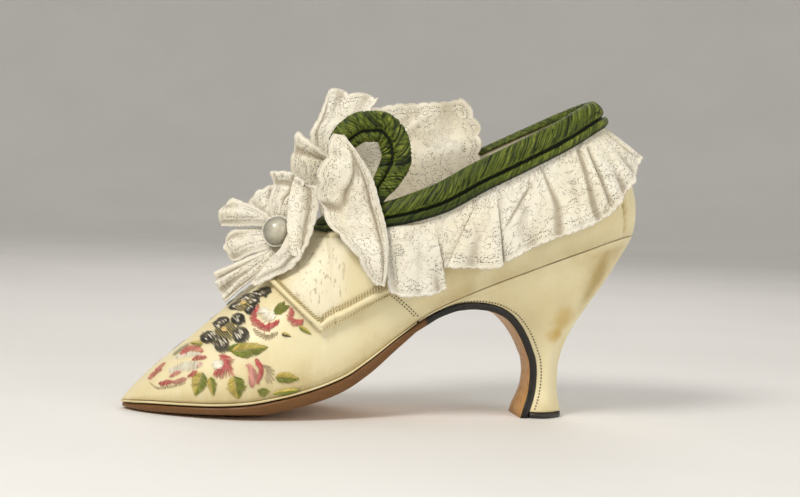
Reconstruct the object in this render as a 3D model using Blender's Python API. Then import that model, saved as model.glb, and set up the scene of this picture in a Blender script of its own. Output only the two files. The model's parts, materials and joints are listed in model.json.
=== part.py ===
"""Lady's court shoe with a high curved heel, lace frills and ruched ribbon, on a straight last.

The toe points to -X, the heel to +X and the near side to -Y. The origin lies on the floor,
under the middle of the heel tip. Tables and sizes are in millimetres, and MM turns them to metres.
"""

import math

import bmesh
import bpy
import numpy as np
from mathutils import Vector
from mathutils.bvhtree import BVHTree

MM = 0.001

# Driving sizes
WALL = 1.8  # satin, interlining and lining of the upper
CLEAR = 0.3  # gap between pieces that touch
TRIM_CLEAR = 0.6  # the same where both are curved
RAND = 1.0  # thickness of the rand between upper and sole
RAND_REACH = 0.7  # how far the rand shows outside the upper
SOLE_REACH = 0.9  # how far the sole shows outside the upper
FLAP = 3.2  # thickness of the sole where it runs down the heel breast
INSOLE = 2.0
TOP_PIECE = 2.4  # wearing layer under the heel
SADDLE = 1.2  # thickness of the instep saddle
BRAID = 0.8  # thickness of its braid
LACE = 0.8
PEARL_RADIUS = 6.1

# Foot line: where the upper meets sole and heel seat, from toe tip to heel back, on the near side.
# belly and rise place the lower handle of each section, turn swings it from sideways to backwards.
FOOT_COLUMNS = ("x", "half_width", "z", "belly", "rise", "turn")
FOOT_ROWS = (
    (-179.2, 0.0, 4.0, 0.0, 0.6, 0),
    (-176.0, 6.8, 4.5, 0.5, 2.4, 0),
    (-167.8, 15.5, 5.5, 1.2, 6.5, 0),
    (-154.4, 24.5, 6.1, 1.8, 11.5, 0),
    (-141.0, 30.5, 6.7, 2.4, 17.0, 0),
    (-127.3, 33.5, 8.1, 2.6, 22.0, 0),
    (-113.8, 33.5, 10.9, 2.4, 28.0, 0),
    (-100.0, 31.5, 14.8, 2.2, 33.0, 0),
    (-93.0, 30.0, 17.4, 2.2, 34.0, 0),
    (-87.0, 28.4, 20.1, 2.4, 32.0, 0),
    (-77.0, 25.5, 26.7, 3.2, 25.0, 0),
    (-64.2, 22.5, 36.4, 4.8, 19.0, 0),
    (-50.2, 21.5, 46.5, 5.6, 16.5, 0),
    (-34.8, 23.0, 54.2, 5.4, 16.0, 0),
    (-22.3, 24.5, 59.8, 4.8, 16.0, 0),
    (-9.7, 25.5, 64.9, 4.0, 16.5, 2),
    (3.0, 26.0, 70.0, 3.4, 17.0, 8),
    (16.5, 24.0, 74.8, 3.2, 17.0, 24),
    (26.7, 19.0, 78.1, 3.4, 16.5, 46),
    (35.6, 11.0, 80.2, 4.0, 16.0, 69),
    (42.0, 0.0, 81.1, 4.5, 16.0, 90),
)
# Vamp ridge over the first foot rows, with the width of its rounded shoulder.
RIDGE_COLUMNS = ("x", "z", "shoulder")
RIDGE_ROWS = (
    (-179.0, 4.8, 0.0),
    (-176.0, 8.4, 4.2),
    (-167.8, 16.9, 9.0),
    (-154.4, 28.5, 14.0),
    (-141.0, 40.2, 17.0),
    (-127.3, 53.0, 19.0),
    (-113.8, 65.8, 20.0),
    (-102.5, 76.0, 20.0),
    (-95.6, 82.0, 19.0),
)
THROAT = len(RIDGE_ROWS) - 1  # foot row where the ridge ends and the opening begins
# Topline from the throat to the back; lean and drop place the upper handle of each section.
TOPLINE_COLUMNS = ("x", "half_width", "z", "lean", "drop")
TOPLINE_ROWS = (
    (-95.6, 0.0, 82.0, 19.0, 0.0),
    (-91.5, 11.5, 83.6, 13.0, 5.0),
    (-79.5, 20.8, 87.4, 8.5, 14.0),
    (-66.0, 25.0, 91.8, 5.0, 18.0),
    (-52.0, 27.0, 97.6, 3.4, 18.5),
    (-35.5, 27.0, 107.2, 2.6, 19.0),
    (-22.0, 26.0, 114.2, 2.6, 19.5),
    (-9.5, 24.0, 120.6, 3.4, 20.0),
    (0.6, 20.5, 125.8, 5.4, 20.0),
    (9.2, 15.0, 130.4, 9.5, 19.5),
    (15.0, 9.6, 133.4, 13.6, 19.0),
    (18.7, 4.6, 135.2, 16.2, 19.0),
    (20.0, 0.0, 135.8, 17.0, 19.0),
)
BACK = len(FOOT_ROWS) - 1
TOE_FILL = 1.25  # foot row where the hollow of the upper begins

# Underside of the sole from toe to waist: height along the middle, and how far its edge is lifted.
SOLE_COLUMNS = ("x", "z", "edge_lift")
SOLE_ROWS = (
    (-179.2, 1.0, 0.3),
    (-172.0, 0.3, 0.6),
    (-164.0, 0.0, 1.0),
    (-150.0, 0.0, 1.5),
    (-136.0, 0.0, 2.1),
    (-124.0, 0.0, 2.6),
    (-113.8, 1.8, 2.4),
    (-100.0, 5.7, 2.0),
    (-87.7, 11.0, 1.5),
    (-77.0, 18.3, 1.2),
    (-64.2, 30.0, 0.8),
    (-56.0, 37.7, 0.6),
)
SOLE_FLAT_SHARE = 0.6  # share of the width that the flat middle of the tread takes
WAIST = 11.6  # foot row where the rand ends and the heel begins

# Heel: the line of its breast, where the sole runs down it, and of its back, from seat to tip.
# seat_share is how far a section still has the outline of the seat.
HEEL_COLUMNS = ("breast_x", "breast_z", "breast_half", "back_x", "back_z", "half_width", "seat_share")
HEEL_ROWS = (
    (-50.2, 45.2, 21.3, 40.9, 78.6, 25.5, 0.85),
    (-45.0, 47.6, 20.8, 38.6, 74.2, 24.6, 0.70),
    (-38.5, 49.6, 20.2, 36.0, 70.0, 23.3, 0.55),
    (-31.8, 50.2, 19.3, 33.0, 65.0, 21.8, 0.40),
    (-24.9, 49.6, 18.2, 30.2, 60.6, 20.2, 0.25),
    (-20.2, 48.3, 17.0, 27.6, 56.6, 18.8, 0.12),
    (-14.8, 45.5, 15.0, 24.4, 52.0, 17.2, 0.0),
    (-10.2, 41.1, 13.0, 21.0, 47.0, 15.6, 0.0),
    (-6.3, 35.4, 11.3, 17.0, 40.8, 13.7, 0.0),
    (-3.5, 29.6, 10.1, 13.6, 34.3, 12.0, 0.0),
    (-1.7, 24.8, 9.4, 11.5, 28.6, 10.9, 0.0),
    (-1.0, 18.6, 9.1, 10.1, 21.0, 10.2, 0.0),
    (-1.3, 13.4, 9.5, 10.0, 14.5, 10.2, 0.0),
    (-2.4, 8.2, 10.6, 10.7, 8.5, 11.2, 0.0),
    (-4.3, 2.9, 12.2, 12.0, 2.9, 12.9, 0.0),
)
SEAT_BOW = 3.9  # how far the seat arches above a straight line from breast to back
HEEL_ROUND = 2.4  # power of the rounded back of the heel's sections

# Instep saddle, bounded in side view by straight edges that start from its lower corner.
SADDLE_CORNER = (-100.0, 36.8)
SADDLE_FRONT_SLOPE = -1.0
SADDLE_SIDE_SLOPE = 0.55
SADDLE_TOP = (-103.0, 73.6)
SADDLE_TOP_SLOPE = 0.2
SADDLE_END = 10.75  # foot row under the lace where it ends
BRAID_FRONT = 4.6  # height of the braid on the front edge and on the side edge
BRAID_SIDE = 7.2

# Collar ribbon: half of its section, out from the wall and up from the topline.
RIBBON_COLUMNS = ("out", "up")
RIBBON_SECTION = (
    (-2.4, 0.4),
    (-2.4, 1.4),
    (-1.0, 2.5),
    (1.2, 2.7),
    (3.2, 1.4),
    (4.2, -1.6),
    (3.8, -4.6),
    (2.5, -6.3),
    (3.2, -7.6),
    (2.7, -9.4),
    (1.5, -10.2),
    (0.9, -10.2),
    (0.9, -5.0),
    (0.4, 0.4),
)
RIBBON_FRONT = 0.6  # share of its size that the ribbon has at the throat
RIBBON_FULL = 12.5  # foot row from which it has its full size

# Ribbon curl that stands on the near topline: its middle line and the tilt of its broad face.
CURL_COLUMNS = ("x", "y", "z")
CURL_ROWS = (
    (-76.0, -25.0, 96.4),
    (-72.0, -24.6, 102.4),
    (-68.8, -24.0, 110.6),
    (-70.4, -23.0, 118.6),
    (-76.2, -22.0, 123.6),
    (-83.0, -21.4, 123.2),
    (-89.2, -21.0, 119.4),
)
CURL_SECTION = ((-6.4, 0.0), (-5.2, 2.4), (-1.0, 3.2), (2.0, 1.7), (4.2, 2.6), (6.2, 1.2))

# Collar frill: one row for each fold, from the near throat to the back. stand is how far the hem
# of that fold stands off the quarter, and drop is the length of lace below the ribbon.
FRILL_COLUMNS = ("row", "drop", "stand")
FRILL_ROWS = (
    (10.45, 21.0, 4.5),
    (10.90, 24.5, 6.6),
    (11.50, 27.0, 7.0),
    (12.00, 27.0, 6.0),
    (12.14, 23.0, 2.6),
    (12.40, 20.0, 4.6),
    (13.00, 27.0, 6.6),
    (13.70, 31.0, 8.0),
    (13.86, 32.0, 3.0),
    (14.60, 33.0, 5.6),
    (15.20, 33.5, 4.0),
    (15.90, 33.0, 6.2),
    (16.50, 33.0, 4.2),
    (17.10, 32.5, 6.6),
    (17.45, 32.0, 3.0),
    (18.10, 31.0, 6.6),
    (18.70, 28.5, 4.6),
    (19.20, 25.0, 7.0),
    (19.55, 22.0, 4.2),
    (20.00, 18.0, 6.6),
)
FRILL_TOP = 12.0  # how far below the topline the frill starts
FRILL_LIFT = 0.9  # how far its sewn edge lies off the quarter
FRILL_SADDLE_LIFT = 3.5  # the same where it passes over the saddle

# Standing and hanging lace: each row runs from one edge of the sheet to the other.
SHEET_COLUMNS = ("x0", "y0", "z0", "x1", "y1", "z1", "bow")
DRAPE_ROWS = (
    (-93.6, -24.4, 119.5, -91.4, -24.9, 119.0, 0.0),
    (-96.6, -24.0, 111.0, -86.9, -25.2, 111.2, 2.0),
    (-98.2, -21.4, 100.5, -82.0, -25.4, 100.0, 2.8),
    (-99.4, -18.6, 91.0, -78.8, -24.8, 90.0, 2.8),
    (-94.6, -25.4, 81.5, -76.4, -29.2, 80.6, 2.4),
    (-87.0, -33.4, 72.6, -74.4, -36.2, 72.2, 2.4),
    (-80.8, -36.0, 64.0, -73.6, -37.8, 63.6, 1.8),
    (-77.0, -37.2, 58.4, -74.4, -38.0, 57.6, 0.0),
)
PLUME_ROWS = (
    (-96.4, 1.5, 84.8, -90.0, 6.5, 86.4, 0.6),
    (-98.2, 3.0, 101.0, -90.6, 10.0, 102.0, 2.0),
    (-101.0, 5.0, 112.0, -89.6, 13.0, 113.0, 2.6),
    (-102.2, 5.0, 121.0, -83.6, 14.5, 124.0, 3.6),
    (-98.6, 3.5, 131.0, -76.2, 15.5, 131.0, 4.0),
    (-92.6, 4.0, 141.0, -73.0, 16.0, 138.0, 3.0),
)
LEAF_ROWS = (
    (-104.2, 3.0, 90.0, -98.6, 0.6, 90.0, 0.6),
    (-109.2, 6.0, 103.0, -97.0, 2.0, 101.5, 2.4),
    (-110.4, 6.0, 111.0, -95.4, 1.0, 109.0, 3.0),
    (-108.2, 6.0, 120.4, -98.6, 2.5, 115.0, 2.0),
)
WING_ROWS = (
    (-71.0, 20.4, 89.0, -24.5, 22.2, 107.5, 0.4),
    (-71.4, 19.4, 99.0, -24.5, 20.6, 118.0, 0.4),
    (-72.0, 22.0, 120.0, -24.6, 24.0, 126.0, 3.0),
    (-72.4, 26.0, 132.6, -31.0, 29.0, 138.4, 3.0),
)

# Rosette: one row for each fold round its middle, in its own plane, seen from outside.
# angle runs against the clock from the heel side, reach is the radius and lift the height of the rim.
ROSETTE_MIDDLE = (-112.4, -7.4, 74.8)
ROSETTE_FACING = (-0.56, -0.72, 0.40)
ROSETTE_COLUMNS = ("angle", "reach", "lift")
ROSETTE_ROWS = (
    (12, 15.5, 7.0),
    (34, 17.5, 4.0),
    (52, 21.5, 6.0),
    (68, 27.0, 3.0),
    (84, 28.0, 5.5),
    (100, 32.0, 2.0),
    (115, 31.0, 4.5),
    (128, 25.0, 0.0),
    (143, 27.5, 2.5),
    (154, 34.5, 5.0),
    (167, 36.5, 1.5),
    (177, 26.5, -1.0),
    (191, 28.5, 3.5),
    (206, 26.5, 0.0),
    (217, 35.5, 3.0),
    (228, 37.0, 1.0),
    (240, 36.0, 3.0),
    (251, 29.5, 1.0),
    (264, 22.5, 4.5),
    (286, 18.5, 6.5),
    (314, 15.0, 7.5),
    (345, 14.5, 8.0),
)
ROSETTE_REST = 5.0  # least distance of its folds from the upper, over saddle and braid
ROSETTE_CORE = 3.0  # radius of its flat middle, under the pearl

COLOURS = {
    "ivory_satin": ((0.86, 0.80, 0.60), 0.42),
    "heel_cover": ((0.84, 0.77, 0.54), 0.40),
    "braid": ((0.80, 0.75, 0.60), 0.6),
    "sole_leather": ((0.42, 0.24, 0.09), 0.5),
    "black_leather": ((0.03, 0.027, 0.02), 0.4),
    "lining": ((0.85, 0.81, 0.70), 0.7),
    "lace": ((0.88, 0.86, 0.80), 0.8),
    "green_ribbon": ((0.10, 0.20, 0.04), 0.38),
    "pearl": ((0.62, 0.62, 0.56), 0.15),
}


def clear_scene():
    for old in list(bpy.data.objects):
        bpy.data.objects.remove(old)


def material(name):
    """The Principled material of that name, made once."""
    made = bpy.data.materials.get(name)
    if made is None:
        colour, roughness = COLOURS[name]
        made = bpy.data.materials.new(name)
        made.use_nodes = True
        shader = made.node_tree.nodes["Principled BSDF"]
        shader.inputs["Base Color"].default_value = (*colour, 1.0)
        shader.inputs["Roughness"].default_value = roughness
        shader.inputs["Metallic"].default_value = 0.0
    return made


# Smooth tables


def smooth_table(rows, knots=None, odd_start=None, odd_end=None):
    """A function through a table's rows, with no overshoot between them.

    Where odd_start or odd_end is given, that end goes on as its own mirror image: the columns
    that it lists change sign across the end, and the others keep it.
    """
    values = np.array(rows, float)
    at = np.arange(len(values), dtype=float) if knots is None else np.array(knots, float)
    ends = []
    for odd, edge, inner in ((odd_start, 0, 1), (odd_end, -1, -2)):
        across = values[inner].copy()
        if odd is None:
            across = 2 * values[edge] - values[inner]
        else:
            across[list(odd)] = 2 * values[edge, list(odd)] - values[inner, list(odd)]
        ends.append((across, 2 * at[edge] - at[inner]))
    whole = np.vstack([ends[0][0], values, ends[1][0]])
    places = np.concatenate([[ends[0][1]], at, [ends[1][1]]])
    secant = np.diff(whole, axis=0) / np.diff(places)[:, None]
    before, after = secant[:-1], secant[1:]
    same_way = before * after > 0
    slope = np.where(same_way, 2 * before * after / np.where(same_way, before + after, 1.0), 0.0)

    def value(place):
        k = int(np.clip(np.searchsorted(at, place) - 1, 0, len(at) - 2))
        span = at[k + 1] - at[k]
        s = (place - at[k]) / span
        return (
            (1 + 2 * s) * (1 - s) ** 2 * values[k]
            + s * (1 - s) ** 2 * span * slope[k]
            + s * s * (3 - 2 * s) * values[k + 1]
            + s * s * (s - 1) * span * slope[k + 1]
        )

    return value


def smoothstep(low, high, value):
    s = min(1.0, max(0.0, (value - low) / (high - low)))
    return s * s * (3 - 2 * s)


foot_line = smooth_table(FOOT_ROWS, odd_start=(1,), odd_end=(1, 5))
ridge_line = smooth_table(RIDGE_ROWS)
topline = smooth_table(TOPLINE_ROWS, odd_start=(1,), odd_end=(1,))
sole_line = smooth_table([row[1:] for row in SOLE_ROWS], [row[0] for row in SOLE_ROWS])
heel_line = smooth_table(HEEL_ROWS)


# The last: points and normals of the upper's outer face on the near side


def handles(row):
    """The four control points of the upper's section at a foot row, from the foot line up."""
    x, half, z, belly, rise, turn = foot_line(row)
    out = np.array((math.sin(math.radians(turn)), -math.cos(math.radians(turn)), 0.0))
    foot = np.array((x, -half, z))
    if row <= THROAT:
        top_x, top_z, lean = ridge_line(row)
        top, drop = np.array((top_x, 0.0, top_z)), 0.0
    else:
        top_x, top_half, top_z, lean, drop = topline(row - THROAT)
        top = np.array((top_x, -top_half, top_z))
    up = np.array((0.0, 0.0, 1.0))
    return foot, foot + belly * out + rise * up, top + lean * out - drop * up, top


def upper_point(row, t):
    """A point of the upper's outer face, t running from 0 at the foot line to 1 at the top."""
    a, b, c, d = handles(row)
    s = 1 - t
    return s**3 * a + 3 * s * s * t * b + 3 * s * t * t * c + t**3 * d


def upper_normal(row, t):
    """The outward normal of the upper's outer face."""
    step = 0.02
    low_row, high_row = max(0.0, row - step), min(float(BACK), row + step)
    if row <= THROAT:
        high_row = min(high_row, float(THROAT))
    low_t, high_t = max(0.0, t - step), min(1.0, t + step)
    along = upper_point(high_row, t) - upper_point(low_row, t)
    up = upper_point(row, high_t) - upper_point(row, low_t)
    normal = np.cross(along, up)
    if row == 0.0:
        normal = np.array((-1.0, 0.0, 0.2))
    on_middle = row == BACK or (t == 1.0 and row <= THROAT)
    if on_middle:
        normal[1] = 0.0
    return normal / np.linalg.norm(normal)


def offset_point(row, t, distance):
    return upper_point(row, t) + distance * upper_normal(row, t)


def t_at_height(row, z):
    """Where a section reaches that height, or its nearer end."""
    low, high = 0.0, 1.0
    if upper_point(row, 1.0)[2] <= z:
        return 1.0
    for _ in range(40):
        middle = (low + high) / 2
        if upper_point(row, middle)[2] < z:
            low = middle
        else:
            high = middle
    return low


def t_below_top(row, distance):
    """Where a section lies that far below its top, along the surface."""
    steps = 60
    point, gone = upper_point(row, 1.0), 0.0
    for k in range(1, steps + 1):
        t = 1 - k / steps
        following = upper_point(row, t)
        length = np.linalg.norm(following - point)
        if gone + length >= distance:
            return t + (gone + length - distance) / length / steps
        point, gone = following, gone + length
    return 0.0


# Meshes


def mirrored(points):
    return np.asarray(points) * (1.0, -1.0, 1.0)


def make_object(name, points, faces, finish):
    """A smooth-shaded object of one closed body, from points in millimetres."""
    mesh = bpy.data.meshes.new(name)
    mesh.from_pydata([Vector(p) * MM for p in points], [], [tuple(map(int, f)) for f in faces])
    body = bmesh.new()
    body.from_mesh(mesh)
    bmesh.ops.remove_doubles(body, verts=body.verts, dist=1e-3 * MM)
    bmesh.ops.dissolve_degenerate(body, edges=body.edges, dist=1e-3 * MM)
    bmesh.ops.recalc_face_normals(body, faces=body.faces)
    body.to_mesh(mesh)
    body.free()
    mesh.shade_smooth()
    mesh.set_sharp_from_angle(angle=math.radians(40))
    mesh.materials.append(material(finish))
    made = bpy.data.objects.new(name, mesh)
    bpy.context.scene.collection.objects.link(made)
    return made


def grid_faces(columns, levels, start=0, closed=False, flip=False):
    """Quads of a grid whose points are stored column by column."""
    faces = []
    for i in range(columns if closed else columns - 1):
        for j in range(levels - 1):
            a = start + i * levels + j
            b = start + (i + 1) % columns * levels + j
            quad = (a, b, b + 1, a + 1)
            faces.append(quad[::-1] if flip else quad)
    return faces


def welded(points, faces):
    """The index of the first point at each place, and the faces that keep three corners or more."""
    seen, first = {}, []
    for index, point in enumerate(points):
        first.append(seen.setdefault(tuple(np.round(point, 4)), index))
    kept = []
    for face in faces:
        corners = [first[i] for i in face]
        corners = [c for k, c in enumerate(corners) if c != corners[k - 1]]
        if len(corners) > 2:
            kept.append(tuple(corners))
    return kept


def thickened(outer, inner, faces):
    """Points and faces of the solid between two sheets of the same faces, closed along their edges."""
    count = len(outer)
    sheet = welded(outer, faces)
    uses = {}
    for face in sheet:
        for k, a in enumerate(face):
            uses[(a, face[(k + 1) % len(face)])] = True
    rims = [(b, a, a + count, b + count) for a, b in uses if (b, a) not in uses]
    under = [tuple(i + count for i in reversed(face)) for face in sheet]
    return np.vstack([outer, inner]), sheet + under + rims


def shell_between(name, rows, low, high, inside, outside, levels, finish):
    """A piece cut between two offsets of the upper, on both sides and joined over the ridge.

    low and high give the section's range of t at a row. It is joined where high gives 1 before the throat.
    """
    shares = np.linspace(0.0, 1.0, levels)
    near = {offset: [] for offset in (inside, outside)}
    for row in rows:
        start, end = low(row), high(row)
        for share in shares:
            t = 1.0 if share == 1.0 and end == 1.0 else start + share * (end - start)
            for offset, points in near.items():
                points.append(offset_point(row, t, offset))
    outer, inner = (np.vstack([near[o], mirrored(near[o])]) for o in (outside, inside))
    faces = grid_faces(len(rows), levels) + grid_faces(len(rows), levels, len(rows) * levels, flip=True)
    return make_object(name, *thickened(outer, inner, faces), finish)


def loft(name, rings, finish, closed=False, caps=True):
    """A solid through rings of equal length, each running round the section."""
    count, around = len(rings), len(rings[0])
    points = np.vstack(rings)
    faces = []
    for i in range(count if closed else count - 1):
        for j in range(around):
            a, b = i * around, (i + 1) % count * around
            k = (j + 1) % around
            faces.append((a + j, a + k, b + k, b + j))
    if caps and not closed:
        faces += [tuple(range(around)), tuple(range((count - 1) * around, count * around))]
    return make_object(name, points, faces, finish)


def sheet_normals(grid, closed=False):
    """Unit normals of a grid of points."""
    along = np.gradient(grid, axis=0)
    if closed:
        along = (np.roll(grid, -1, axis=0) - np.roll(grid, 1, axis=0)) / 2
    normals = np.cross(along, np.gradient(grid, axis=1))
    return normals / np.linalg.norm(normals, axis=2, keepdims=True)


def sheet_solid(name, grid, thickness, finish, closed=False):
    """A sheet of cloth as a closed solid of that thickness round the grid."""
    columns, levels = grid.shape[:2]
    normals = sheet_normals(grid, closed)
    outer = (grid + normals * thickness / 2).reshape(-1, 3)
    inner = (grid - normals * thickness / 2).reshape(-1, 3)
    return make_object(name, *thickened(outer, inner, grid_faces(columns, levels, closed=closed)), finish)


# Upper and sole


def throat_rows():
    return np.linspace(THROAT, THROAT + 2, 8)


def quarter_rows():
    return np.linspace(THROAT + 2, BACK, 19)


def outline_rows(first=0.0, last=None):
    """The foot rows that the upper's columns stand on, so that its neighbours meet it evenly."""
    last = float(BACK) if last is None else last
    vamp = np.concatenate([np.linspace(0, 2, 7), np.linspace(2, THROAT, 13)[1:]])
    rows = np.concatenate([vamp, throat_rows()[1:], quarter_rows()[1:]])
    return rows[(rows >= first) & (rows <= last)]


def upper():
    """Vamp and quarters as one wall, open at the collar and underneath."""
    rows = outline_rows()
    levels = 8
    toe_x, _, toe_z = foot_line(TOE_FILL)[:3]
    toe_end = np.array((toe_x - 1.5, 0.0, toe_z))
    outer, inner = [], []
    for row in rows:
        for t in np.linspace(0.0, 1.0, levels):
            outer.append(upper_point(row, t))
            inside = toe_end if row < TOE_FILL else offset_point(row, t, -WALL)
            if t == 0.0 and row >= TOE_FILL:
                inside[2] = outer[-1][2]
            inner.append(inside)
    outer, inner = (np.vstack([p, mirrored(p)]) for p in (outer, inner))
    count = len(rows)
    faces = grid_faces(count, levels) + grid_faces(count, levels, count * levels, flip=True)
    made = make_object("upper", *thickened(outer, inner, faces), "ivory_satin")
    skin = BVHTree.FromPolygons([Vector(p) for p in outer], faces)
    return made, skin


def foot_outline(row, inwards):
    """A point of the foot line on the near side, moved inwards in plan."""
    step = 0.02
    low, high = max(0.0, row - step), min(float(BACK), row + step)
    ahead, behind = foot_line(high), foot_line(low)
    along = np.array((ahead[0] - behind[0], behind[1] - ahead[1]))
    if row in (0.0, float(BACK)):
        along = np.array((0.0, -1.0 if row == 0.0 else 1.0))
    along /= np.linalg.norm(along)
    x, half, z = foot_line(row)[:3]
    inner_x, inner_y = x - along[1] * inwards, -half + along[0] * inwards
    return np.array((inner_x, min(inner_y, 0.0), z))


def rand():
    """The narrow strip between upper and sole, from waist to waist round the toe."""
    rows = outline_rows(last=WAIST)
    width = WALL + 0.8
    end = np.array((foot_line(TOE_FILL)[0], 0.0, foot_line(TOE_FILL)[2]))
    top = []
    for row in rows:
        top.append(foot_outline(row, -RAND_REACH))
        top.append(end if row < TOE_FILL else foot_outline(row, width))
    top = np.array(top) - (0.0, 0.0, CLEAR)
    fade = np.array([RAND * (1 - 0.5 * smoothstep(9.5, WAIST, row)) for row in rows for _ in range(2)])
    under = top - np.stack([0 * fade, 0 * fade, fade], axis=1)
    outer, inner = (np.vstack([p, mirrored(p)]) for p in (top, under))
    faces = grid_faces(len(rows), 2) + grid_faces(len(rows), 2, 2 * len(rows), flip=True)
    return make_object("rand", *thickened(outer, inner, faces), "heel_cover")


def sole_top(row):
    """Height of the sole's upper face under a foot row."""
    fade = RAND * (1 - 0.5 * smoothstep(9.5, WAIST, row))
    return foot_line(row)[2] - 3 * CLEAR - fade


def sole_ring(top, bottom, half_top, half_bottom, lift):
    """A section of the sole: flat on top, and flat underneath between lifted edges."""
    flat = SOLE_FLAT_SHARE * half_bottom
    edge = bottom + lift * (top - bottom) / np.linalg.norm(top - bottom)
    profile = ((top, -half_top), (edge, -half_bottom), (bottom, -flat), (bottom, flat), (edge, half_bottom), (top, half_top))
    return np.array([(point[0], y, point[1]) for point, y in profile])


def breast_normal(row):
    """Unit normal of the heel's breast line in side view, away from the heel."""
    ahead, behind = heel_line(min(row + 0.05, len(HEEL_ROWS) - 1)), heel_line(max(row - 0.05, 0))
    along = (ahead - behind)[:2]
    normal = np.array((along[1], -along[0])) / np.linalg.norm(along)
    return normal


def breast_rows():
    return np.linspace(0, len(HEEL_ROWS) - 1, 18)


def outsole():
    """The sole from toe to waist, and on down the breast of the heel to the floor."""
    rings = []
    for row in outline_rows(last=WAIST):
        x, half = foot_line(row)[:2]
        bottom, lift = sole_line(x)
        half += SOLE_REACH
        rings.append(sole_ring(np.array((x, sole_top(row))), np.array((x, bottom)), half, half - 0.6, lift))
    last = len(HEEL_ROWS) - 1
    for row in breast_rows()[1:]:
        breast, half = heel_line(row)[:2], heel_line(row)[2]
        rings.append(sole_ring(breast, breast + FLAP * breast_normal(row), half, half - 0.2, 0.3))
    # The last section lies on the floor.
    foot, half = heel_line(last)[:2], heel_line(last)[2] + 0.4
    back = np.array((foot[0] - 0.9, 0.0))
    rings.append(sole_ring(back, back - (FLAP, 0.0), half, half - 0.2, 0.3))
    return loft("outsole", rings, "sole_leather")


def insole():
    """The sock that lies on the sole and the heel seat, inside the upper."""
    rows = outline_rows(first=TOE_FILL + 0.25)
    edge = np.array([foot_outline(row, WALL + 0.5) for row in rows]) + (0.0, 0.0, 0.4)
    edge[-1, 1] = 0.0
    rings = []
    for point in edge[:-1]:
        top = point + (0.0, 0.0, INSOLE)
        rings.append(np.array([point, top, mirrored(top), mirrored(point)]))
    tail = edge[-1]
    rings.append(np.array([tail, tail + (0, 0, INSOLE)] + [tail + (0, 0, INSOLE), tail]))
    return loft("insole", rings, "lining")


# Heel


def heel_half_width(share, row_values):
    """Half width of a heel section, from its breast at share 0 to its back at 1."""
    breast_half, widest = row_values[2], row_values[5]
    swell = math.sin(math.pi * min(1.0, share / 0.8))
    rounding = (1 - share**HEEL_ROUND) ** (1 / HEEL_ROUND)
    return rounding * (breast_half + (widest / 0.94 - breast_half) * max(0.0, swell))


def heel_rings():
    """Sections of the heel from seat to tip, each near side then far side."""
    seat_rows = outline_rows(first=WAIST)
    seat = np.array([foot_outline(row, 0.2) for row in seat_rows]) - (0.0, 0.0, 1.4 * CLEAR)
    seat[-1, 1] = 0.0
    front, length = seat[0, 0], seat[-1, 0] - seat[0, 0]
    shares = (seat[:, 0] - front) / length
    lip = seat - (0.0, 0.0, 0.5)
    near_rings = [seat, lip]
    for row in breast_rows():
        values = heel_line(row)
        breast = values[:2] - CLEAR * breast_normal(row)
        back = values[3:5]
        seat_like = values[6]
        ring = []
        for share, (_, seat_y, _) in zip(shares, seat):
            x, z = breast + share * (back - breast)
            z += SEAT_BOW * seat_like * 4 * share * (1 - share)
            own = heel_half_width(share, values)
            ring.append((x, -(own + seat_like * (-seat_y * values[5] / 26.0 - own)), z))
        ring = np.array(ring)
        ring[-1, 1] = 0.0
        near_rings.append(ring)
    return near_rings


def symmetric_loft(name, near_rings, finish):
    """A solid through half sections that end on the middle plane, with their mirror images."""
    half = len(near_rings[0])
    rings = [np.vstack([ring, mirrored(ring[:-1])[::-1]]) for ring in near_rings]
    around = len(rings[0])
    points = np.vstack(rings)
    faces = []
    for i in range(len(rings) - 1):
        for j in range(around):
            a, b, k = i * around, (i + 1) * around, (j + 1) % around
            faces.append((a + j, a + k, b + k, b + j))
    for start in (0, (len(rings) - 1) * around):
        for j in range(half - 1):
            faces.append((start + j, start + j + 1, start + around - 2 - j, start + around - 1 - j)[: 4 if j < half - 2 else 3])
    return make_object(name, points, faces, finish)


def heel():
    return symmetric_loft("heel", heel_rings(), "heel_cover")


def top_piece():
    """The wearing layer under the heel tip."""
    tip = heel_rings()[-1]
    tip[:, 0] = np.maximum(tip[:, 0], tip[0, 0])
    tip[:, 2] = 0.0
    raised = tip + (0.0, 0.0, TOP_PIECE)
    return symmetric_loft("top_piece", [raised, tip], "black_leather")


# Trim that follows the upper


def saddle_low(row):
    """Height of the saddle's lower edge at a foot row."""
    along = upper_point(row, 0.5)[0] - SADDLE_CORNER[0]
    slope = SADDLE_FRONT_SLOPE if along < 0 else SADDLE_SIDE_SLOPE
    return SADDLE_CORNER[1] + slope * along


def saddle_high_t(row):
    top_z = SADDLE_TOP[1] + SADDLE_TOP_SLOPE * (upper_point(row, 0.9)[0] - SADDLE_TOP[0])
    return t_at_height(row, top_z)


def saddle_rows():
    """Foot rows of the saddle's columns, from just behind its point on the ridge."""
    front = next(row for row in np.arange(4.5, 7, 0.02) if saddle_low(row) < upper_point(row, 1.0)[2] - 0.5)
    point = front + np.array((0.0, 0.04, 0.08, 0.13, 0.2, 0.3, 0.42, 0.6, 0.8))
    return np.concatenate([point, np.linspace(front + 1.05, 7.0, 3), np.linspace(7.0, SADDLE_END, 10)[1:]])


def instep_saddle():
    """The satin flap that lies over the instep."""

    def low(row):
        return t_at_height(row, saddle_low(row))

    outside = TRIM_CLEAR + SADDLE
    return shell_between("instep_saddle", saddle_rows(), low, saddle_high_t, TRIM_CLEAR, outside, 7, "ivory_satin")


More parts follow.
